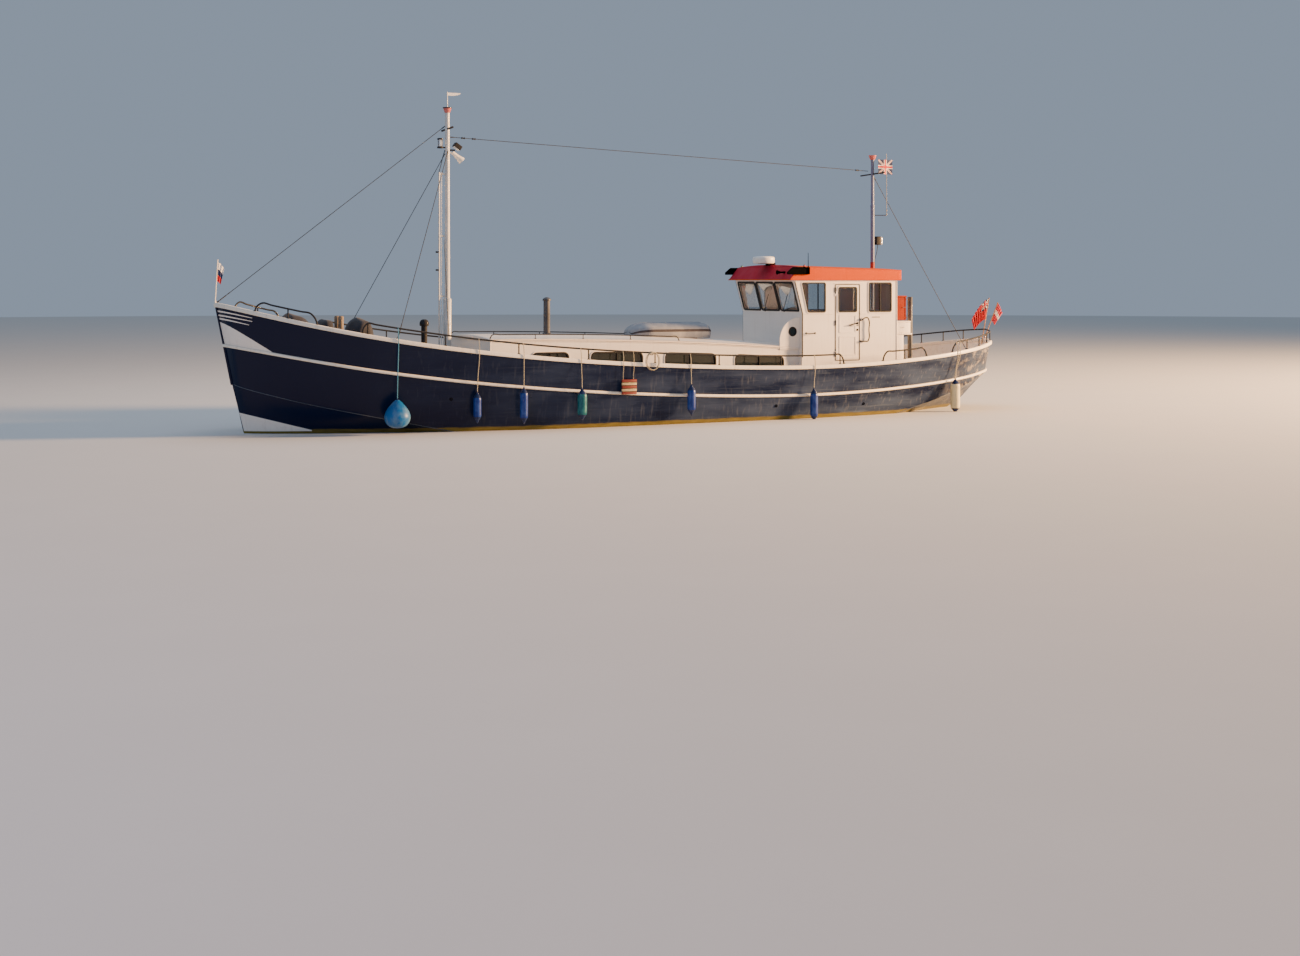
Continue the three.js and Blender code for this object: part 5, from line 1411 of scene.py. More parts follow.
class BARGE_OT_roof(Piece, bpy.types.Operator):
    """The visor roof with its radar dome, horn, whip aerial and sidelight boards"""

    bl_idname = "barge.roof"
    bl_label = "Wheelhouse roof"

    def build(self, sizes):
        """The band's section is a box with a crowned top; its front leans aft as it rises."""
        half, low, front_top, crown, lean, soft = 1.560, 3.4403, 3.780, 0.060, 0.300, 0.022
        fore, length, fall = 3.660, 3.39, 0.080
        turn = np.linspace(0, math.pi / 2, 5)[:-1]
        inward, ahead = soft * (1 - np.sin(turn)), soft * (1 - np.cos(turn))
        ease = np.concatenate([inward, np.zeros(32), inward[::-1]])
        along = np.concatenate([ahead, np.linspace(soft, length - soft, 32), length - ahead[::-1]])
        y = np.linspace(-1, 1, 31)
        rings = []
        for run, d in zip(along, ease):
            share = run / length
            high = front_top - fall * share
            top = np.stack([y * (half - 0.012), high + crown * (1 - y ** 2)], 1)
            under = rounded(
                [(half, high), (half, low), (-half, low), (-half, high)], (0.02, 0.014, 0.014, 0.02), 3,
            )
            section = np.concatenate([top[1:-1], under])
            middle = np.array([0, (low + high) / 2])
            section = middle + (section - middle) * ((half - d) / half, 1 - d / 0.2)
            lift = np.clip((section[:, 1] - low) / (high - low), 0, 1)
            rings.append(np.column_stack([fore + run + lean * lift * (1 - share), section]))
        grid = capped(np.stack(rings))
        # The front faces take the crimson copy of the roof paint: painted shade on the visor's front.
        rise = np.clip((grid[..., 2] - low) / (front_top - low), 0, 1)
        front = grid[..., 0] < fore + 0.002 + soft + lean * rise
        slots = (front[:-1, :-1] & front[1:, 1:]).astype(int)
        make(
            "visor_roof", Form().add(grid, slots=slots), ["orange_roof_enamel", "crimson_visor_enamel"],
            replaces=("wheelhouse_roof",), sharp=32,
        )
        self.gutter(half, low)
        self.dome()
        self.horn()
        self.boards()

    def gutter(self, half, low):
        form = Form()
        for side in SIDES.values():
            x = np.linspace(3.70, 7.04, 12)
            form.pipe(xyz(x, side * (half - 0.004), low + 0.012), 0.012, 8)
            x = np.linspace(3.99, 7.04, 12)
            form.pipe(xyz(x, side * (half - 0.004), 3.775 - 0.080 * (x - 3.66) / 3.39), 0.010, 8)
        y = np.linspace(-half + 0.02, half - 0.02, 12)
        form.pipe(xyz(3.662, y, low + 0.012), 0.012, 8)
        make("roof_beads", form, "orange_roof_enamel")

    def dome(self):
        """A closed white drum on a dark foot: its rim is a circle, its top a shallow curve."""
        x, r, low, high = 3.840, 0.285, 3.870, 4.062
        profile = [
            (0.80 * r, low), (0.93 * r, low + 0.008), (r, low + 0.040), (1.0 * r, high - 0.060),
            (0.975 * r, high - 0.036), (0.90 * r, high - 0.016), (0.60 * r, high - 0.004), (0.01, high),
        ]
        drum = Form().turn(profile, (x, 0, 0), sides=48)
        drum.turn(
            [
                (0.992 * r, low + 0.070), (1.004 * r, low + 0.074), (1.004 * r, low + 0.082),
                (0.992 * r, low + 0.086),
            ],
            (x, 0, 0), sides=48,
        )
        make("radar_dome", drum, "white_moulded_plastic")
        foot = Form().block(3.960, 4.130, -0.120, 0.120, 3.785, 3.885, 0.010)
        foot.turn([(0.16, 3.862), (0.17, 3.868), (0.16, 3.876)], (x + 0.03, 0, 0), sides=32)
        make("radar_foot", foot, "black_moulded_plastic")
        whip = Form().bar((4.205, -1.590, 3.76), (4.205, -1.590, 4.13), 8, np.linspace(0.010, 0.006, 8), 8)
        whip.turn([(0.018, 3.745), (0.018, 3.775), (0.010, 3.81)], (4.205, -1.590, 0), sides=16)
        make("whip_aerial", whip, "black_moulded_plastic")

    def horn(self):
        flare = [
            (0.058, -0.070), (0.060, -0.062), (0.040, -0.02), (0.026, 0.04), (0.022, 0.12), (0.022, 0.19),
        ]
        form = Form().turn(flare, (3.660, -1.09, 3.640), (1, 0, 0), 26)
        form.turn([(0.030, -0.02), (0.034, 0.01), (0.020, 0.02)], (3.800, -1.09, 3.640), (1, 0, 0), 20)
        make("horn", form, "black_moulded_plastic")

    def boards(self):
        """Each lamp's board is cut away aslant at its forward upper corner."""
        x0, x1, z0, z1 = 3.600, 4.240, 3.585, 3.770
        outline = rounded([(x0, z0), (x1, z0), (x1, z1), (3.760, z1), (x0, 3.645)], 0.010, 3)
        for name, side in SIDES.items():
            lamp_at = (x1 - 0.150, side * 1.590, 0)
            y = sorted((side * 1.5603, side * 1.620))
            board = Form().hoop(outline, inset(outline, 0.014), y[0], y[1], "xz")
            back = sorted((side * 1.5603, side * 1.590))
            board.prism(inset(outline, 0.010), back[0], back[1], "xz", 0.002)
            board.turn(
                [(0.028, z1 - 0.01), (0.030, z1), (0.030, z1 + 0.012), (0.024, z1 + 0.016)], lamp_at,
                sides=22,
            )
            board.turn([(0.024, z1 + 0.052), (0.028, z1 + 0.054), (0.010, z1 + 0.060)], lamp_at, sides=22)
            make(f"sidelight_board_{name}", board, "black_moulded_plastic", replaces=(f"sidelight_{name}",))
            shade = "red_lamp_lens" if name == "port" else "green_lamp_lens"
            lamp = Form().turn(
                [(0.024, z1 + 0.014), (0.025, z1 + 0.034), (0.023, z1 + 0.053)], lamp_at, sides=22,
            )
            make(f"sidelight_lamp_{name}", lamp, shade)


class BARGE_OT_masts(Piece, bpy.types.Operator):
    """Both masts with their lamps, brackets, aerials and conduits"""

    bl_idname = "barge.masts"
    bl_label = "Masts"

    def build(self, sizes):
        self.fore()
        self.aft()

    def pole(self, x, foot, top, r, head):
        """A tapered tube: the radius falls in a straight line to four fifths at the head."""
        z = np.concatenate([np.linspace(foot, top - head - 0.02, 30), [top - head - 0.006, top - head]])
        radius = r * (1 - 0.2 * (z - foot) / (top - head - foot))
        radius[-1] *= 0.8
        return turned(np.stack([radius, z], 1), (x, 0, 0), sides=28)

    def fore(self):
        x, top = MAST["x"], MAST["top"]
        pole, black, red, pale, white = (Form() for _ in range(5))
        pole.add(self.pole(x, 1.41, top, MAST["r"], MAST["head"]))
        pole.turn([(0.095, 1.41), (0.095, 2.99), (0.088, 3.005), (0.066, 3.02)], (x, 0, 0), sides=28)
        for z in (1.62, 2.40, 2.95):
            pole.collar(0.090, 0.098, z, 0.03, 0.006, (x, 0, 0), 28)
        pole.bar((x, 0, 7.40), (x, 0, top - 0.004), 6, 0.012, 12)
        pole.bar((x - 0.205, 0, 1.41), (x - 0.205, 0, 5.99), 12, 0.020, 12)
        for z in (3.063, 4.483, 5.948):
            pole.block(x - 0.200, x, -0.016, 0.016, z - 0.018, z + 0.018, 0.004)
            pole.collar(0.020, 0.026, z, 0.03, 0.006, (x - 0.205, 0, 0), 18)
        make("foremast_pole", pole, "grey_mast_enamel", replaces=("foremast",))
        white.bar((x - 0.145, 0, 1.41), (x - 0.145, 0, 5.99), 12, 0.011, 10)
        vane = np.array([
            (x + 0.010, 7.812), (x + 0.12, 7.806), (x + 0.25, 7.826), (x + 0.335, 7.862), (x + 0.335, 7.880),
            (x + 0.010, 7.880),
        ])
        white.prism(vane, -0.005, 0.005, "xz", 0.002)
        make("foremast_vane_and_tube", white, "white_moulded_plastic")
        black.bar((x, -0.36, 7.035), (x, 0.36, 7.000), 10, 0.025, 12)
        cup = [(0.060, 7.400), (0.068, 7.412), (0.104, 7.520), (0.104, 7.530), (0.094, 7.530), (0.050, 7.440)]
        red.turn(cup, (x, 0, 0), sides=32)
        black.turn([(0.103, 7.506), (0.108, 7.512), (0.108, 7.526), (0.103, 7.531)], (x, 0, 0), sides=32)
        # The lantern stands between two dark plates, with four guard bars.
        lamp = x - 0.180
        pale.turn(
            [(0.052, 6.595), (0.058, 6.62), (0.060, 6.68), (0.058, 6.74), (0.052, 6.765)], (lamp, 0, 0),
            sides=28,
        )
        for profile in (
            [(0.066, 6.555), (0.070, 6.562), (0.070, 6.590), (0.056, 6.600)],
            [(0.060, 6.755), (0.070, 6.762), (0.070, 6.786), (0.040, 6.798), (0.012, 6.802)],
        ):
            black.turn(profile, (lamp, 0, 0), sides=28)
        for turn in np.arange(4) * math.pi / 2 + 0.5:
            bar = np.array([
                (lamp + 0.065 * math.cos(turn), 0.065 * math.sin(turn), z) for z in (6.58, 6.67, 6.77)
            ])
            black.pipe(bar, 0.006, 6)
        black.block(lamp, x, -0.020, 0.020, 6.560, 6.592, 0.004)
        # The floodlight looks down and aft at 35 degrees.
        turn = math.radians(-35)
        spin = np.array([(math.cos(turn), math.sin(turn)), (-math.sin(turn), math.cos(turn))])
        place = np.array([x + 0.250, 6.605])
        black.prism(oblong(-0.095, 0.095, -0.050, 0.062, 0.012, 3) @ spin + place, -0.078, 0.078, "xz", 0.010)
        pale.prism(oblong(-0.082, 0.082, -0.058, -0.049, 0.003, 2) @ spin + place, -0.068, 0.068, "xz", 0.002)
        black.block(x + 0.02, x + 0.19, -0.018, 0.018, 6.502, 6.538, 0.004)
        cable = smooth_path(
            [
                (x - 0.06, 0, 6.52), (x - 0.11, 0, 6.36), (x - 0.17, 0, 6.12), (x - 0.203, 0, 6.00),
                (x - 0.204, 0, 5.93),
            ],
            24,
        )
        black.pipe(cable, 0.009, 8)
        halyard = smooth_path([(x - 0.107, -0.07, 4.39), (x - 0.06, -0.09, 3.3), (x, -0.11, 2.14)], 24)
        black.pipe(halyard, 0.006, 8)
        for z in (4.104, 3.680):
            black.block(x - 0.290, x - 0.200, -0.012, 0.012, z - 0.020, z + 0.020, 0.004)
        make("foremast_fittings", black, "black_rail_enamel")
        make("foremast_red_lamp", red, "red_lamp_lens")
        make("foremast_white_lamps", pale, "clear_lamp_lens")
        bell = [
            (0.012, -0.01), (0.043, 0.0), (0.045, 0.07), (0.054, 0.14), (0.074, 0.24), (0.090, 0.296),
            (0.090, 0.302), (0.082, 0.300), (0.046, 0.18), (0.018, 0.12),
        ]
        hailer = Form().turn(bell, (x + 0.130, 0, 6.465), (0.777, 0, -0.629), 28)
        hailer.block(x + 0.04, x + 0.16, -0.018, 0.018, 6.442, 6.478, 0.004)
        make("loudhailer", hailer, "cream_cap_enamel")

    def aft(self):
        x, r = AFT_MAST["x"], AFT_MAST["r"]
        grey, black, red, pale, steel, foot = (Form() for _ in range(6))
        profile = [
            (r, 1.01), (r, 5.40), (r * 0.98, 5.43), (r * 0.86, 5.46), (r * 0.80, 6.58), (r * 0.90, 6.60),
            (r * 0.90, 6.66),
        ]
        grey.turn(profile, (x, 0, 0), sides=28)
        for z in (1.9, 3.35, 5.42):
            grey.collar(0.048, 0.056, z, 0.03, 0.006, (x, 0, 0), 26)
        grey.pipe([(HOUSE["aft"] - 0.005, 0, 3.38), (x, 0, 3.38)], 0.020, 10)
        make("aft_mast_pole", grey, "blue_grey_mast_enamel", replaces=("aft_mast",))
        foot.turn([(r, 3.71), (r + 0.006, 3.715), (r + 0.006, 3.92), (r, 3.925)], (x, 0, 0), sides=28)
        make("aft_mast_band", foot, "rust_red_enamel")
        black.bar((x, -0.56, 6.285), (x, 0.56, 6.250), 10, 0.020, 12)
        cup = [(0.058, 6.650), (0.066, 6.662), (0.106, 6.758), (0.108, 6.768), (0.098, 6.768), (0.050, 6.690)]
        red.turn(cup, (x, 0, 0), sides=32)
        black.block(x + 0.095, x + 0.230, -0.068, 0.068, 4.384, 4.610, 0.010)
        black.block(x + 0.02, x + 0.14, -0.018, 0.018, 4.402, 4.438, 0.004)
        pale.block(x + 0.228, x + 0.283, -0.062, 0.062, 4.392, 4.602, 0.014)
        cable = smooth_path(
            [
                (x + 0.15, -0.03, 4.39), (x + 0.12, -0.03, 4.20), (x + 0.060, -0.02, 3.98),
                (x + 0.060, -0.02, 3.76),
            ],
            20,
        )
        black.pipe(cable, 0.008, 8)
        ax, ay = 7.530, -0.160
        steel.pipe([(x, 0, 5.172), (ax, ay, 5.172)], 0.012, 10)
        steel.bar((ax, ay, 5.165), (ax, ay, 6.810), 12, 0.008, 10)
        for z in (5.192, 5.30):
            steel.collar(0.012, 0.018, z, 0.02, 0.004, (ax, ay, 0), 14)
        make("aft_mast_aerial", steel, "weathered_steel")
        make("aft_mast_fittings", black, "black_rail_enamel")
        make("aft_mast_red_lamp", red, "red_lamp_lens")
        make("aft_mast_lamp_glass", pale, "clear_lamp_lens")


class BARGE_OT_rigging(Piece, bpy.types.Operator):
    """Wire stays with bottle screws, deck eyes and insulators"""

    bl_idname = "barge.rigging"
    bl_label = "Standing rigging"

    def build(self, sizes):
        fore, aft = MAST["x"], AFT_MAST["x"]
        stays = {
            "forestay": ((fore - 0.05, 0, 7.090), (-10.270, 0, float(cap_height(-10.27)) - 0.002)),
            "triatic_stay": ((fore + 0.05, 0, 6.830), (aft - 0.04, 0, 6.340)),
            "backstay": ((aft + 0.04, 0, 6.200), (10.450, 0, float(deck_height(10.45)) + 0.002)),
            "shroud_port": ((fore, -0.05, 6.500), (-6.700, -1.960, float(cap_height(-6.7)) - 0.002)),
            "shroud_starboard": ((fore, 0.05, 6.500), (-6.700, 1.960, float(cap_height(-6.7)) - 0.002)),
        }
        for name, (high, low) in stays.items():
            high, low = np.array(high), np.array(low)
            along = unit(high - low)
            long = float(np.linalg.norm(high - low))
            grid, uv = tube(low + along * np.linspace(0.10, long, 60)[:, None], sizes.stay, 8)
            form = Form().add(grid, uv=uv)
            if name == "triatic_stay":
                for at in (long - 0.35, long - 0.62, 0.45):
                    form.turn(
                        [(0.010, -0.05), (0.026, -0.035), (0.014, 0), (0.026, 0.035), (0.010, 0.05)],
                        low + along * at, along, 14,
                    )
            else:
                screw = [
                    (0.006, 0.0), (0.016, 0.01), (0.016, 0.045), (0.008, 0.055), (0.013, 0.08), (0.013, 0.24),
                    (0.007, 0.26), (0.011, 0.30), (0.011, 0.36), (0.007, 0.37),
                ]
                form.turn(screw, low + along * 0.03, along, 14)
                ring = np.linspace(0, 2 * math.pi, 21)
                eye = low + 0.022 * xyz(np.cos(ring), 0, np.sin(ring) + 0.6)
                form.pipe(eye, 0.007, 8, about=np.array([0, 1.0, 0]), closed=True)
            form.turn(
                [(0.010, -0.09), (0.013, -0.08), (0.013, -0.01), (0.009, 0)], high - along * 0.02, along, 12,
            )
            make(f"{name}_wire", form, "galvanised_wire_rope", replaces=(name,))


class BARGE_OT_deck_gear(Piece, bpy.types.Operator):
    """Stovepipe, exhaust, lockers, bitts, vent, hatch and gear under canvas"""

    bl_idname = "barge.deck_gear"
    bl_label = "Deck gear"

    def build(self, sizes):
        self.pipes()
        self.lockers()
        self.foredeck()
        self.covers()

    def pipes(self):
        place = (-2.25, 0, 0)
        pipe = Form().turn([(0.080, 2.02), (0.080, 2.930), (0.078, 2.95)], place, sides=32)
        pipe.turn([(0.112, 2.115), (0.118, 2.135), (0.085, 2.165)], place, sides=32)
        pipe.turn(
            [(0.104, 2.945), (0.105, 2.955), (0.098, 2.985), (0.050, 3.022), (0.012, 3.030)], place, sides=32,
        )
        for z in (2.30, 2.62):
            pipe.collar(0.079, 0.084, z, 0.016, 0.004, place, 32)
        for turn in np.arange(3) * 2 * math.pi / 3:
            leg = np.array([
                (place[0] + 0.074 * math.cos(turn), 0.074 * math.sin(turn), z) for z in (2.92, 2.94, 2.96)
            ])
            pipe.pipe(leg, 0.006, 6)
        make("stovepipe_flue", pipe, "sooty_stove_enamel", replaces=("stovepipe",))
        place = (7.63, -1.10, 0)
        stack = Form().turn([(0.064, 1.06), (0.064, 2.985), (0.060, 3.0)], place, sides=30)
        stack.turn(
            [(0.064, 2.80), (0.066, 2.81), (0.066, 2.998), (0.060, 3.005), (0.052, 3.0), (0.050, 2.97)],
            place, sides=30,
        )
        for z in (1.35, 2.2):
            stack.collar(0.063, 0.066, z, 0.02, 0.006, place, 30)
        stack.turn([(0.100, 1.055), (0.104, 1.07), (0.069, 1.09)], place, sides=30)
        make("exhaust_flue", stack, "sooty_stove_enamel", replaces=("exhaust_stack",))

    def lockers(self):
        x0 = HOUSE["aft"] + 0.0004
        orange = Form().block(x0, 7.278, -1.438, -1.162, 2.410, 3.002, 0.012)
        orange.block(x0, 7.290, -1.450, -1.150, 3.000, 3.040, 0.010)
        door = inset(oblong(x0, 7.278, 2.44, 2.98, 0.02, 3), 0.022)
        orange.hoop(door, inset(door, 0.012), -1.4465, -1.434, "xz")
        make("salmon_locker_round", orange, "salmon_locker_enamel", replaces=("orange_locker",))
        white = Form().block(x0, 7.412, -1.442, -1.008, 2.070, 2.350, 0.012)
        white.block(x0, 7.420, -1.450, -1.000, 2.348, 2.385, 0.010)
        white.block(x0, 7.440, -1.470, -0.980, 2.030, 2.070, 0.008)
        white.block(x0, 7.190, -1.450, -1.250, 1.10, 2.034, 0.010)
        make("white_locker_round", white, "white_deckhouse_enamel", replaces=("white_locker",))
        steel = Form()
        for x, y, z in ((7.20, -1.447, 2.74), (7.16, -1.449, 2.22)):
            steel.pipe(
                [(x - 0.04, y, z), (x - 0.035, y - 0.018, z), (x + 0.035, y - 0.018, z), (x + 0.04, y, z)],
                0.006, 8,
            )
        make("locker_handles", steel, "stainless_steel")

    def foredeck(self):
        x, form = -7.450, Form()
        for y in (-0.150, 0.150):
            form.turn(
                [(0.062, 1.85), (0.062, 2.50), (0.065, 2.53), (0.065, 2.585), (0.050, 2.614), (0.012, 2.620)],
                (x, y, 0), sides=28,
            )
        form.bar((x, -0.260, 2.180), (x, 0.260, 2.180), 8, 0.033, 16)
        make("bitts_turned", form, "weathered_post_wood", replaces=("bitts",))
        vx, vy = -5.670, -0.800
        form = Form().turn([(0.070, 1.70), (0.070, 2.41)], (vx, vy, 0), sides=26)
        form.turn([(0.094, 1.705), (0.098, 1.72), (0.074, 1.74)], (vx, vy, 0), sides=26)
        form.turn(
            [
                (0.090, 2.385), (0.104, 2.392), (0.109, 2.425), (0.104, 2.470), (0.082, 2.515),
                (0.040, 2.538), (0.010, 2.540),
            ],
            (vx, vy, 0), sides=28,
        )
        make("vent_cowl", form, "black_rail_enamel", replaces=("deck_vent",))
        dress("hatch_coaming", "grey_mast_enamel")
        hx, edge = -6.350, 0.355
        low = float(deck_height(hx)) + 0.1703
        outline = oblong(hx - edge, hx + edge, -edge, edge, 0.04, 5)
        levels = [
            (0.006, low), (0.0, low + 0.008), (0.0, low + 0.024), (0.012, low + 0.033), (0.16, low + 0.047),
            (0.30, low + 0.050),
        ]
        lid = Form().add(capped(np.stack([lay(inset(outline, by), at, "xy") for by, at in levels])))
        lid.bar((hx - edge - 0.012, -0.2, low + 0.0175), (hx - edge - 0.012, 0.2, low + 0.0175), 4, 0.015, 14)
        grip = smooth_path(
            [
                (hx, -0.045, low + 0.046), (hx, -0.038, low + 0.072), (hx, 0.038, low + 0.072),
                (hx, 0.045, low + 0.046),
            ],
            20,
        )
        lid.pipe(grip, 0.008, 10)
        make("hatch_lid_crowned", lid, "cream_cap_enamel", "hatch_lid", ("hatch_lid",), "grey_paint")

    def drape(self, name, table, flat, replaces=(), seed=0.0, middle=0.0):
        """A cover over low gear: half an ellipse in section, its hem gathered in folds that grow downward."""
        table = np.asarray(table, float)
        x = np.linspace(table[0, 0], table[-1, 0], 64)
        half, top = monotone(table[:, 0], table[:, 1:], x).T
        a = np.linspace(0, math.pi, 57)
        across, up = np.sign(np.cos(a)) * np.abs(np.cos(a)) ** 0.72, np.sin(a) ** 0.62
        low = deck_height(x) + 0.004
        down = 1 - up[None]
        fine = 0.010 * np.sin(x[:, None] * 11 + 5 * a[None] + seed)
        fold = 0.018 * down * np.sin(9 * x[:, None] * 3.1 + 4 * np.sin(3 * a)[None] + seed) + fine
        y = middle + (half[:, None] + fold) * across
        sag = 0.020 * np.sin(6 * a[None] + x[:, None] * 8 + seed) * up
        z = low[:, None] + np.maximum((top - low)[:, None] * up + sag * (top - low)[:, None], 0)
        grid = xyz(x[:, None] + 0.012 * down * np.sin(8 * a[None] + seed), y, z)
        piece = make(name, Form().add(grid), "weathered_canvas", replaces=replaces, sharp=60)
        thicken(piece, 0.004, -1)

    def covers(self):
        windlass = [
            (-8.915, 0.12, 2.09), (-8.86, 0.27, 2.30), (-8.74, 0.40, 2.61), (-8.60, 0.45, 2.69),
            (-8.40, 0.45, 2.63), (-8.20, 0.42, 2.47), (-8.09, 0.33, 2.26), (-8.02, 0.15, 1.86),
        ]
        self.drape("windlass_canvas", windlass, (1.75, 1.33), ("windlass_cover",))
        # Gear left under canvas on the foredeck, ahead of and beside the bitts
        heap = [
            (-8.00, 0.12, 2.10), (-7.94, 0.34, 2.46), (-7.80, 0.46, 2.55), (-7.70, 0.44, 2.53),
            (-7.62, 0.30, 2.40), (-7.57, 0.10, 1.95),
        ]
        self.drape("chain_canvas", heap, (1.25, 1.30), (), 0.8)
        heap = [
            (-7.66, 0.10, 1.95), (-7.60, 0.26, 2.30), (-7.45, 0.38, 2.52), (-7.28, 0.42, 2.59),
            (-7.12, 0.40, 2.54), (-7.00, 0.28, 2.36), (-6.94, 0.10, 2.00),
        ]
        self.drape("deck_canvas", heap, (1.50, 1.35), (), 1.7, -0.95)


class BARGE_OT_tender(Piece, bpy.types.Operator):
    """The ship's boat, keel up on two chocks"""

    bl_idname = "barge.tender"
    bl_label = "Tender"

    def build(self, sizes):
        """Each section is a flattened half circle: height goes with the sine to a power below one."""
        low, top = float(trunk_edge(0)) + 0.050, 2.390
        table = np.array([
            (0.0, 0.42, 0.50), (0.02, 0.54, 0.64), (0.08, 0.78, 0.85), (0.22, 0.98, 1.0), (0.60, 1.0, 1.0),
            (0.96, 0.99, 0.98), (0.985, 0.975, 0.955), (1.0, 0.93, 0.86),
        ])
        t = np.concatenate([
            np.linspace(0, 0.1, 14)[:-1], np.linspace(0.1, 0.97, 50), np.linspace(0.975, 1, 7),
        ])
        wide, high = monotone(table[:, 0], table[:, 1:], t).T
        x = -0.060 + 2.070 * t
        a = np.linspace(0, math.pi, 61)
        u, v = np.cos(a), np.sin(a)
        keel = 0.020 * np.exp(-(u / 0.035) ** 2) + 0.010 * (np.exp(-((np.abs(u) - 0.42) / 0.03) ** 2))
        band = 0.012 * np.exp(-(((v ** 0.5) - 0.35) / 0.10) ** 6)
        half, tall = 0.548 * wide, (top - 0.016 - low) * high
        y = half[:, None] * u + np.sign(u) * band
        z = low + tall[:, None] * (0.18 + 0.82 * v ** 0.5) + keel * smooth(t * 12)[:, None]
        lip = xyz(np.broadcast_to(x[:, None], y.shape), y, z)
        # The tubes follow the roof, which falls away aft.
        under = np.stack(
            [
                xyz(x, half * k, low - 0.045 * t + 0.03 * (abs(k) < 0.7))
                for k in (-0.92, -0.80, -0.55, 0.55, 0.80, 0.92)
            ],
            1,
        )
        grid = np.concatenate([lip, under], 1)
        slots = np.zeros((len(x) + 1, grid.shape[1]), int)
        height_share = v ** 0.5
        on_band = np.abs((height_share[1:] + height_share[:-1]) / 2 - 0.35) < 0.10
        slots[:, :60][:, on_band] = 1
        make(
            "tender_hull", Form().add(capped(grid), slots=slots),
            ["coated_tender_fabric", "dark_strake_rubber"], replaces=("tender",), sharp=40,
        )
        chocks = Form()
        for at in (0.300, 1.600):
            roof = float(trunk_edge(at))
            outline = rounded([
                (-0.44, roof + 0.022), (0.44, roof + 0.022), (0.44, low + 0.004), (-0.44, low + 0.004),
            ], 0.008, 3)
            chocks.prism(outline, at, at + 0.060, "yz", 0.005)
        make("tender_chocks", chocks, "varnished_mahogany", slot="step_wood")


class BARGE_OT_fenders(Piece, bpy.types.Operator):
    """Moulded vinyl fenders and the ball, each with its rope eye"""

    bl_idname = "barge.fenders"
    bl_label = "Fenders"

    def eye(self, form, x, y, z, r=0.020):
        turn = np.linspace(0, 2 * math.pi, 25)
        ring = xyz(x + 0 * turn, y + r * np.cos(turn), z + r * np.sin(turn))
        form.add(tube(ring, r * 0.42, 8, about=np.array([1.0, 0, 0]), closed=True)[0], slot=1)

    def build(self, sizes):
        # At each end: the share of the radius, and the distance from the tip
        end = [
            (0.14, 0.024), (0.28, 0.036), (0.36, 0.062), (0.58, 0.092), (0.82, 0.132), (0.96, 0.185),
            (1.0, 0.235),
        ]
        neck, sides = 0.140, 32
        for name, (x, low, top, r, finish) in FENDERS.items():
            y = -hang_y(x, top, r)
            curve = [(r * k, low + h) for k, h in end]
            tip = [(r * k, top - h) for k, h in end[::-1]]
            shell = smooth_profile(np.array(curve + tip), 46)
            shell[:, 0] = np.minimum(shell[:, 0], r - 0.004)
            form = Form()
            grid = turned(shell, (x, y, 0), sides=sides)
            z = np.concatenate([[shell[0, 1]], shell[:, 1], [shell[-1, 1]]])
            middle = (z[1:] + z[:-1]) / 2
            ends = (middle < low + neck) | (middle > top - neck)
            slots = np.repeat(np.where(ends, 1, 0)[:, None], sides, 1)
            form.add(grid, slots=slots)
            for z_at in (low + neck, top - neck):
                form.add(
                    turned(
                        [(r * 0.82, z_at - 0.008), (r * 0.86 + 0.003, z_at), (r * 0.82, z_at + 0.008)],
                        (x, y, 0), sides=32,
                    ),
                    slot=1,
                )
            self.eye(form, x, y, top - 0.024)
            self.eye(form, x, y, low + 0.024)
            make(f"{name}_moulded", form, [finish, "navy_fender_vinyl"], replaces=(name,), sharp=50)
        x, low, top, r = (BALL[key] for key in ("x", "bottom", "top", "r"))
        y = -hang_y(x, top, r)
        # A drop: half the widths come in the lower two fifths, and the shoulders fall straight to the eye.
        shares = [
            (0.10, 0.003), (0.40, 0.024), (0.72, 0.100), (0.93, 0.230), (1.0, 0.385), (0.93, 0.530),
            (0.75, 0.675), (0.52, 0.800), (0.32, 0.895), (0.21, 0.935), (0.17, 0.962),
        ]
        points = np.array([(r * k, low + (top - low) * h) for k, h in shares])
        form = Form().turn(smooth_profile(points, 50), (x, y, 0), sides=40)
        self.eye(form, x, y, top - 0.028, 0.028)
        form.slots[-1][:] = 1
        make(
            "fender_ball_moulded", form, ["sky_buoy_vinyl", "navy_fender_vinyl"], replaces=("fender_ball",),
            sharp=50,
        )


class BARGE_OT_step(Piece, bpy.types.Operator):
    """The slatted boarding step that hangs outside the hull"""

    bl_idname = "barge.step"
    bl_label = "Boarding step"

    def build(self, sizes):
        x, half, low, high = (STEP[key] for key in ("x", "half", "low", "high"))
        back = -(float(hull_half(x, strake_height(x) + STRAKE["high"])) + STRAKE["out"] + 0.004)
        red, cream = Form(), Form()
        for count, z in enumerate(np.linspace(low, high - 0.066, 5)):
            form = cream if count % 2 else red
            form.block(x - half, x + half, back - 0.104, back - 0.052, z, z + 0.060, 0.006)
        for at in (x - 0.150, x + 0.120):
            outline = rounded(
                [(back - 0.054, low), (back, low), (back, high), (back - 0.054, high)], 0.010, 3,
            )
            red.prism(outline, at, at + 0.030, "yz", 0.004)
        make("step_red_slats", red, "red_painted_slats", replaces=("boarding_step",))
        make("step_cream_slats", cream, "cream_painted_slats")


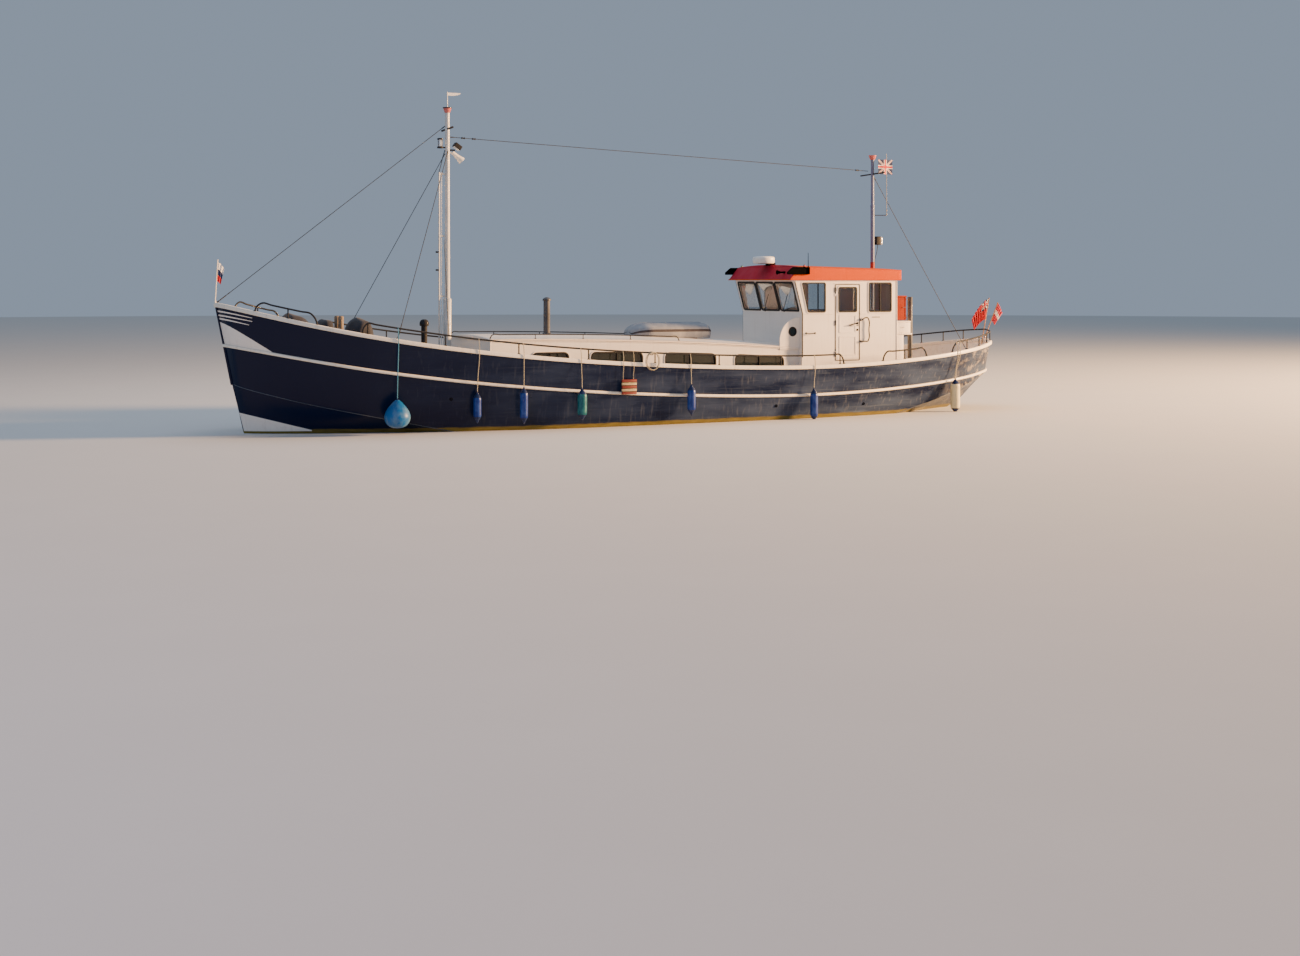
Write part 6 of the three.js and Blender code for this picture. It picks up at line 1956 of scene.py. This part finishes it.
class BARGE_OT_flags(Piece, bpy.types.Operator):
    """Jack, ensign and second stern flag on their staffs, and a small flag on the aerial"""

    bl_idname = "barge.flags"
    bl_label = "Flags"

    def cloth(
        self, name, head, foot, fly, drop, folds, depth, finishes, pattern, flat, replaces=(),
        held="gathered",
    ):
        """A flag in still air: each row leaves the staff, sinks and runs in and out in folds."""
        head, foot, fly = (np.asarray(part, float) for part in (head, foot, fly))
        u, v = np.meshgrid(np.linspace(0, 1, 121), np.linspace(0, 1, 61), indexing="ij")
        hoist = head + (foot - head) * v[..., None]
        away = fly * (u * (1 - 0.35 * v * min(1, drop * 9)))[..., None]
        sink = drop * u ** 1.6 * (1 - 0.5 * v)
        run = 2 * math.pi * folds * u + 0.9 * v + 0.6 * np.sin(2.5 * v)
        wave = depth * (0.6 + 0.4 * u) * np.sin(run) * smooth(u * 8)
        across = xyz(0.35 * wave, wave, 0)
        points = hoist + away + across - xyz(0, 0, sink)
        middle = (u[:-1, :-1] + u[1:, 1:]) / 2, (v[:-1, :-1] + v[1:, 1:]) / 2
        piece = make(
            name, Form().add(points, uv=np.stack([u * flat[0], v * flat[1]], -1), slots=pattern(*middle)),
            finishes, replaces=replaces, sharp=80,
        )
        thicken(piece, 0.0015, 0)

    def build(self, sizes):
        ash = "varnished_ash_staff"
        self.staff(
            "ensign_staff_turned", (10.662, 0, 1.17), (11.030, 0, 2.955), 0.014, ash, ("ensign_staff",),
        )
        self.staff(
            "aft_staff_turned", (10.880, 0, float(cap_height(10.88)) - 0.002), (11.325, 0, 2.825), 0.012, ash,
        )
        self.staff(
            "jackstaff_turned", (-10.296, 0, float(cap_height(-10.3)) - 0.002), (-10.238, 0, 3.900), 0.013,
            "cream_cap_enamel", ("jackstaff",),
        )

        def red_ensign(u, v):
            canton = (u < 0.44) & (v < 0.46)
            cu, cv = u / 0.44 * 2 - 1, v / 0.46 * 2 - 1
            white = canton & (
                (np.abs(cu) < 0.20) | (np.abs(cv) < 0.24) | (np.abs(np.abs(cu) - np.abs(cv)) < 0.14)
            )
            red = canton & ((np.abs(cu) < 0.13) | (np.abs(cv) < 0.18))
            return np.where(red, 0, np.where(white, 2, np.where(canton, 1, 0)))

        def middle_band(u, v):
            return np.where((v > 0.36) & (v < 0.60), 1, 0)

        def three_bands(u, v):
            return np.where(v > 0.66, 2, np.where(v > 0.36, 1, 0))

        def crosses(u, v):
            """Two square crosses and two diagonal ones, each red on a wider white."""
            cu, cv = np.abs(u * 2 - 1), np.abs(v * 2 - 1)
            slant = np.abs(cu - cv)
            white = (cu < 0.19) | (cv < 0.22) | (slant < 0.14)
            red = (cu < 0.10) | (cv < 0.12) | (slant < 0.05)
            return np.where(red, 2, np.where(white, 0, 1))

        self.cloth(
            "ensign_cloth", (11.020, 0, 2.930), (10.905, 0, 2.360), (-0.58, 0, 0.0), 0.56, 8.0, 0.030,
            ["red_bunting", "navy_bunting", "white_bunting"], red_ensign, (0.78, 0.64), ("ensign",),
        )
        self.cloth(
            "aft_flag_cloth", (11.318, 0, 2.810), (11.110, 0, 2.330), (0.16, 0, 0.0), 0.28, 5.0, 0.028,
            ["pink_bunting", "white_bunting"], middle_band, (0.58, 0.50), ("flag_aft",),
        )
        self.cloth(
            "jack_cloth", (-10.242, 0, 3.850), (-10.268, 0, 3.420), (0.150, 0, 0.0), 0.16, 2.5, 0.012,
            ["white_bunting", "navy_bunting", "red_bunting"], three_bands, (0.19, 0.37),
        )
        self.cloth(
            "aerial_flag_cloth", (7.252, -0.182, 6.650), (7.252, -0.182, 6.264), (0.450, 0, 0.0), 0.004, 1.4,
            0.008, ["white_bunting", "navy_bunting", "red_bunting"], crosses, (0.46, 0.39), held="stretched",
        )

    def staff(self, name, foot, head, r, finish, replaces=()):
        foot, head = np.array(foot), np.array(head)
        form = Form().bar(foot, head - unit(head - foot) * 0.02, 14, np.linspace(r, r * 0.8, 14), 14)
        form.turn(
            [(r * 0.6, -0.03), (r * 1.3, -0.022), (r * 1.5, -0.008), (r * 1.0, 0.0), (r * 0.2, 0.003)], head,
            unit(head - foot), 16,
        )
        form.turn([(r * 1.9, 0.0), (r * 2.0, 0.02), (r * 1.3, 0.05)], foot, unit(head - foot), 16)
        make(name, form, finish, slot="staff_wood", replaces=replaces)


class BARGE_OT_underwater(Piece, bpy.types.Operator):
    """Keel, rudder and propeller"""

    bl_idname = "barge.underwater"
    bl_label = "Under water"

    def build(self, sizes):
        """A blade's section turns about its radius: the pitch angle falls from root to tip."""
        for name in ("keel", "rudder", "rudder_trunk"):
            dress(name, "red_antifouling")
        shaft_z, prop_x = -0.810, 8.390
        hub = [
            (0.030, -0.39), (0.032, -0.10), (0.050, -0.085), (0.078, -0.065), (0.078, 0.03), (0.060, 0.075),
            (0.045, 0.095), (0.012, 0.10),
        ]
        form = Form().turn(hub, (prop_x, 0, shaft_z), (1, 0, 0), 28)
        table = np.array([
            (0.05, 0.090, 58.0), (0.16, 0.135, 40.0), (0.28, 0.140, 28.0), (0.325, 0.105, 24.0),
            (0.345, 0.055, 22.0), (0.349, 0.012, 22.0),
        ])
        r = np.concatenate([np.linspace(0.05, 0.32, 14), np.linspace(0.328, 0.349, 7)])
        chord, pitch = monotone(table[:, 0], table[:, 1:], r).T
        turn = np.linspace(0, 2 * math.pi, 25)[:-1]
        u, v = np.cos(turn), np.sin(turn)
        for blade in range(4):
            a = np.radians(pitch)[:, None]
            thick = (0.009 * (1 - 0.6 * r / 0.35))[:, None]
            across = u * chord[:, None] * np.cos(a) - v * thick * np.sin(a)
            along = u * chord[:, None] * np.sin(a) + v * thick * np.cos(a)
            spin = blade * math.pi / 2
            rings = xyz(
                prop_x + along, r[:, None] * math.cos(spin) - across * math.sin(spin),
                shaft_z + r[:, None] * math.sin(spin) + across * math.cos(spin),
            )
            form.add(capped(rings))
        make("propeller_cast", form, "cast_bronze", "propeller", ("propeller",))


class BARGE_OT_stage(Piece, bpy.types.Operator):
    """A pale floor at the waterline and soft lights"""

    bl_idname = "barge.stage"
    bl_label = "Stage"

    def build(self, sizes):
        turn = np.linspace(0, 2 * math.pi, 97)[:-1]
        rings = [
            xyz(sizes.floor * k * np.cos(turn), sizes.floor * k * np.sin(turn), -drop)
            for k, drop in ((1.0, 0.02), (1.0, 0.0), (0.5, 0.0), (0.1, 0.0))
        ]
        form = Form().add(capped(np.stack(rings)))
        floor = make("floor", form, "pale_stage_paint")
        world = bpy.data.worlds.new("studio")
        world.use_nodes = True
        tree = world.node_tree
        tree.nodes.clear()
        back = node(tree, "ShaderNodeBackground", {"Color": rgba("#c8dcf6"), "Strength": sizes.sky})
        node(tree, "ShaderNodeOutputWorld", links={"Surface": back.outputs[0]})
        bpy.context.scene.world = world
        self.light("key", (52, -20, 12), (0, 0, 1.5), 8, sizes.key, "#ffca90")
        self.light("fill", (-34, -30, 16), (-2, 0, 1.5), 22, sizes.fill, "#a8c6ff")
        self.light("top", (0, 8, 26), (0, 0, 1.5), 26, sizes.fill, "#e6eefc")

    def light(self, name, place, aim, wide, watts, colour):
        data = bpy.data.lights.new(name, "AREA")
        data.shape, data.size, data.energy, data.color = "DISK", wide, watts, linear(colour)
        lamp = bpy.data.objects.new(name, data)
        ahead = unit(np.array(aim, float) - np.array(place, float))
        pan, tilt = math.atan2(ahead[1], ahead[0]) - math.pi / 2, math.acos(-ahead[2])
        lamp.location, lamp.rotation_euler = place, (tilt, 0, pan)
        bpy.context.scene.collection.objects.link(lamp)


# Panel and registration


def colour(name, default):
    return FloatVectorProperty(
        name=name, description=f"Colour of the {name.lower()}", subtype="COLOR", size=3, min=0, max=1,
        default=linear(default),
    )


def size(name, what, default):
    return FloatProperty(
        name=name, description=what, default=default, min=0.0, unit="LENGTH", subtype="DISTANCE",
    )


class BargeColours(bpy.types.PropertyGroup):
    navy: colour("Hull", "#020f2e")
    cream: colour("Cap rail and strake", "#f1e6d2")
    white: colour("Deckhouses", "#f1e6d8")
    orange: colour("Wheelhouse roof", "#c84a00")
    black: colour("Rails", "#0e0b0d")
    mast: colour("Masts", "#c9c6be")
    deck: colour("Decks", "#8b8d88")
    bottom: colour("Underwater hull", "#4a2a22")
    locker: colour("Small locker", "#8e2c10")
    blue_fender: colour("Blue fenders", "#0a2a74")
    teal_fender: colour("Teal fender", "#0b5560")
    buff_fender: colour("Buff fender", "#d8cda4")
    sky_buoy: colour("Ball fender", "#0e5f9a")
    tender: colour("Tender", "#8b8c90")
    ensign: colour("Ensign", "#d00a1c")
    canvas: colour("Canvas covers", "#17171f")


class BargeSizes(bpy.types.PropertyGroup):
    lanyard: size("Lanyard", "Diameter of the fender lanyards", 0.018)
    rail: size("Rail pipe", "Radius of the pipe rails", 0.020)
    stay: size("Stay wire", "Radius of the standing rigging", 0.008)
    frame_space: size("Frame spacing", "Distance between the hull's frames", 0.55)
    plate_wave: size("Plate wave", "How far plating is drawn in between frames", 0.004)
    window_corner: size("Window corner", "Radius of the trunk windows' upper corners", 0.13)
    floor: size("Floor", "Radius of the studio floor", 140.0)
    sky: FloatProperty(name="Sky", description="Strength of the even light", default=0.44, min=0.0)
    key: FloatProperty(
        name="Key", description="Power of the low warm light, in watts", default=150000.0, min=0.0,
    )
    fill: FloatProperty(
        name="Fill", description="Power of the cool lights, in watts", default=2600.0, min=0.0,
    )


STEPS = (
    BARGE_OT_camera, BARGE_OT_cords, BARGE_OT_hull, BARGE_OT_belts, BARGE_OT_rails, BARGE_OT_trunk,
    BARGE_OT_wheelhouse,
    BARGE_OT_roof, BARGE_OT_masts, BARGE_OT_rigging, BARGE_OT_deck_gear, BARGE_OT_tender, BARGE_OT_fenders,
    BARGE_OT_step,
    BARGE_OT_flags, BARGE_OT_underwater, BARGE_OT_stage,
)


class BARGE_PT_panel(bpy.types.Panel):
    """Colours, sizes and one button for each group of pieces"""

    bl_label = "Barge"
    bl_idname = "BARGE_PT_panel"
    bl_space_type = "VIEW_3D"
    bl_region_type = "UI"
    bl_category = "Barge"

    def draw(self, context):
        layout = self.layout
        for group in (context.scene.barge_colours, context.scene.barge_sizes):
            box = layout.box()
            for name in group.bl_rna.properties.keys():
                if name not in {"rna_type", "name"}:
                    box.prop(group, name)
        for step in STEPS:
            layout.operator(step.bl_idname)


CLASSES = (BargeColours, BargeSizes, *STEPS, BARGE_PT_panel)


def register():
    for cls in CLASSES:
        bpy.utils.register_class(cls)
    bpy.types.Scene.barge_colours = PointerProperty(type=BargeColours)
    bpy.types.Scene.barge_sizes = PointerProperty(type=BargeSizes)


def unregister():
    del bpy.types.Scene.barge_sizes
    del bpy.types.Scene.barge_colours
    for cls in reversed(CLASSES):
        bpy.utils.unregister_class(cls)


def main():
    register()
    for step in STEPS:
        space, call = step.bl_idname.split(".")
        getattr(getattr(bpy.ops, space), call)()


if __name__ == "__main__":
    main()
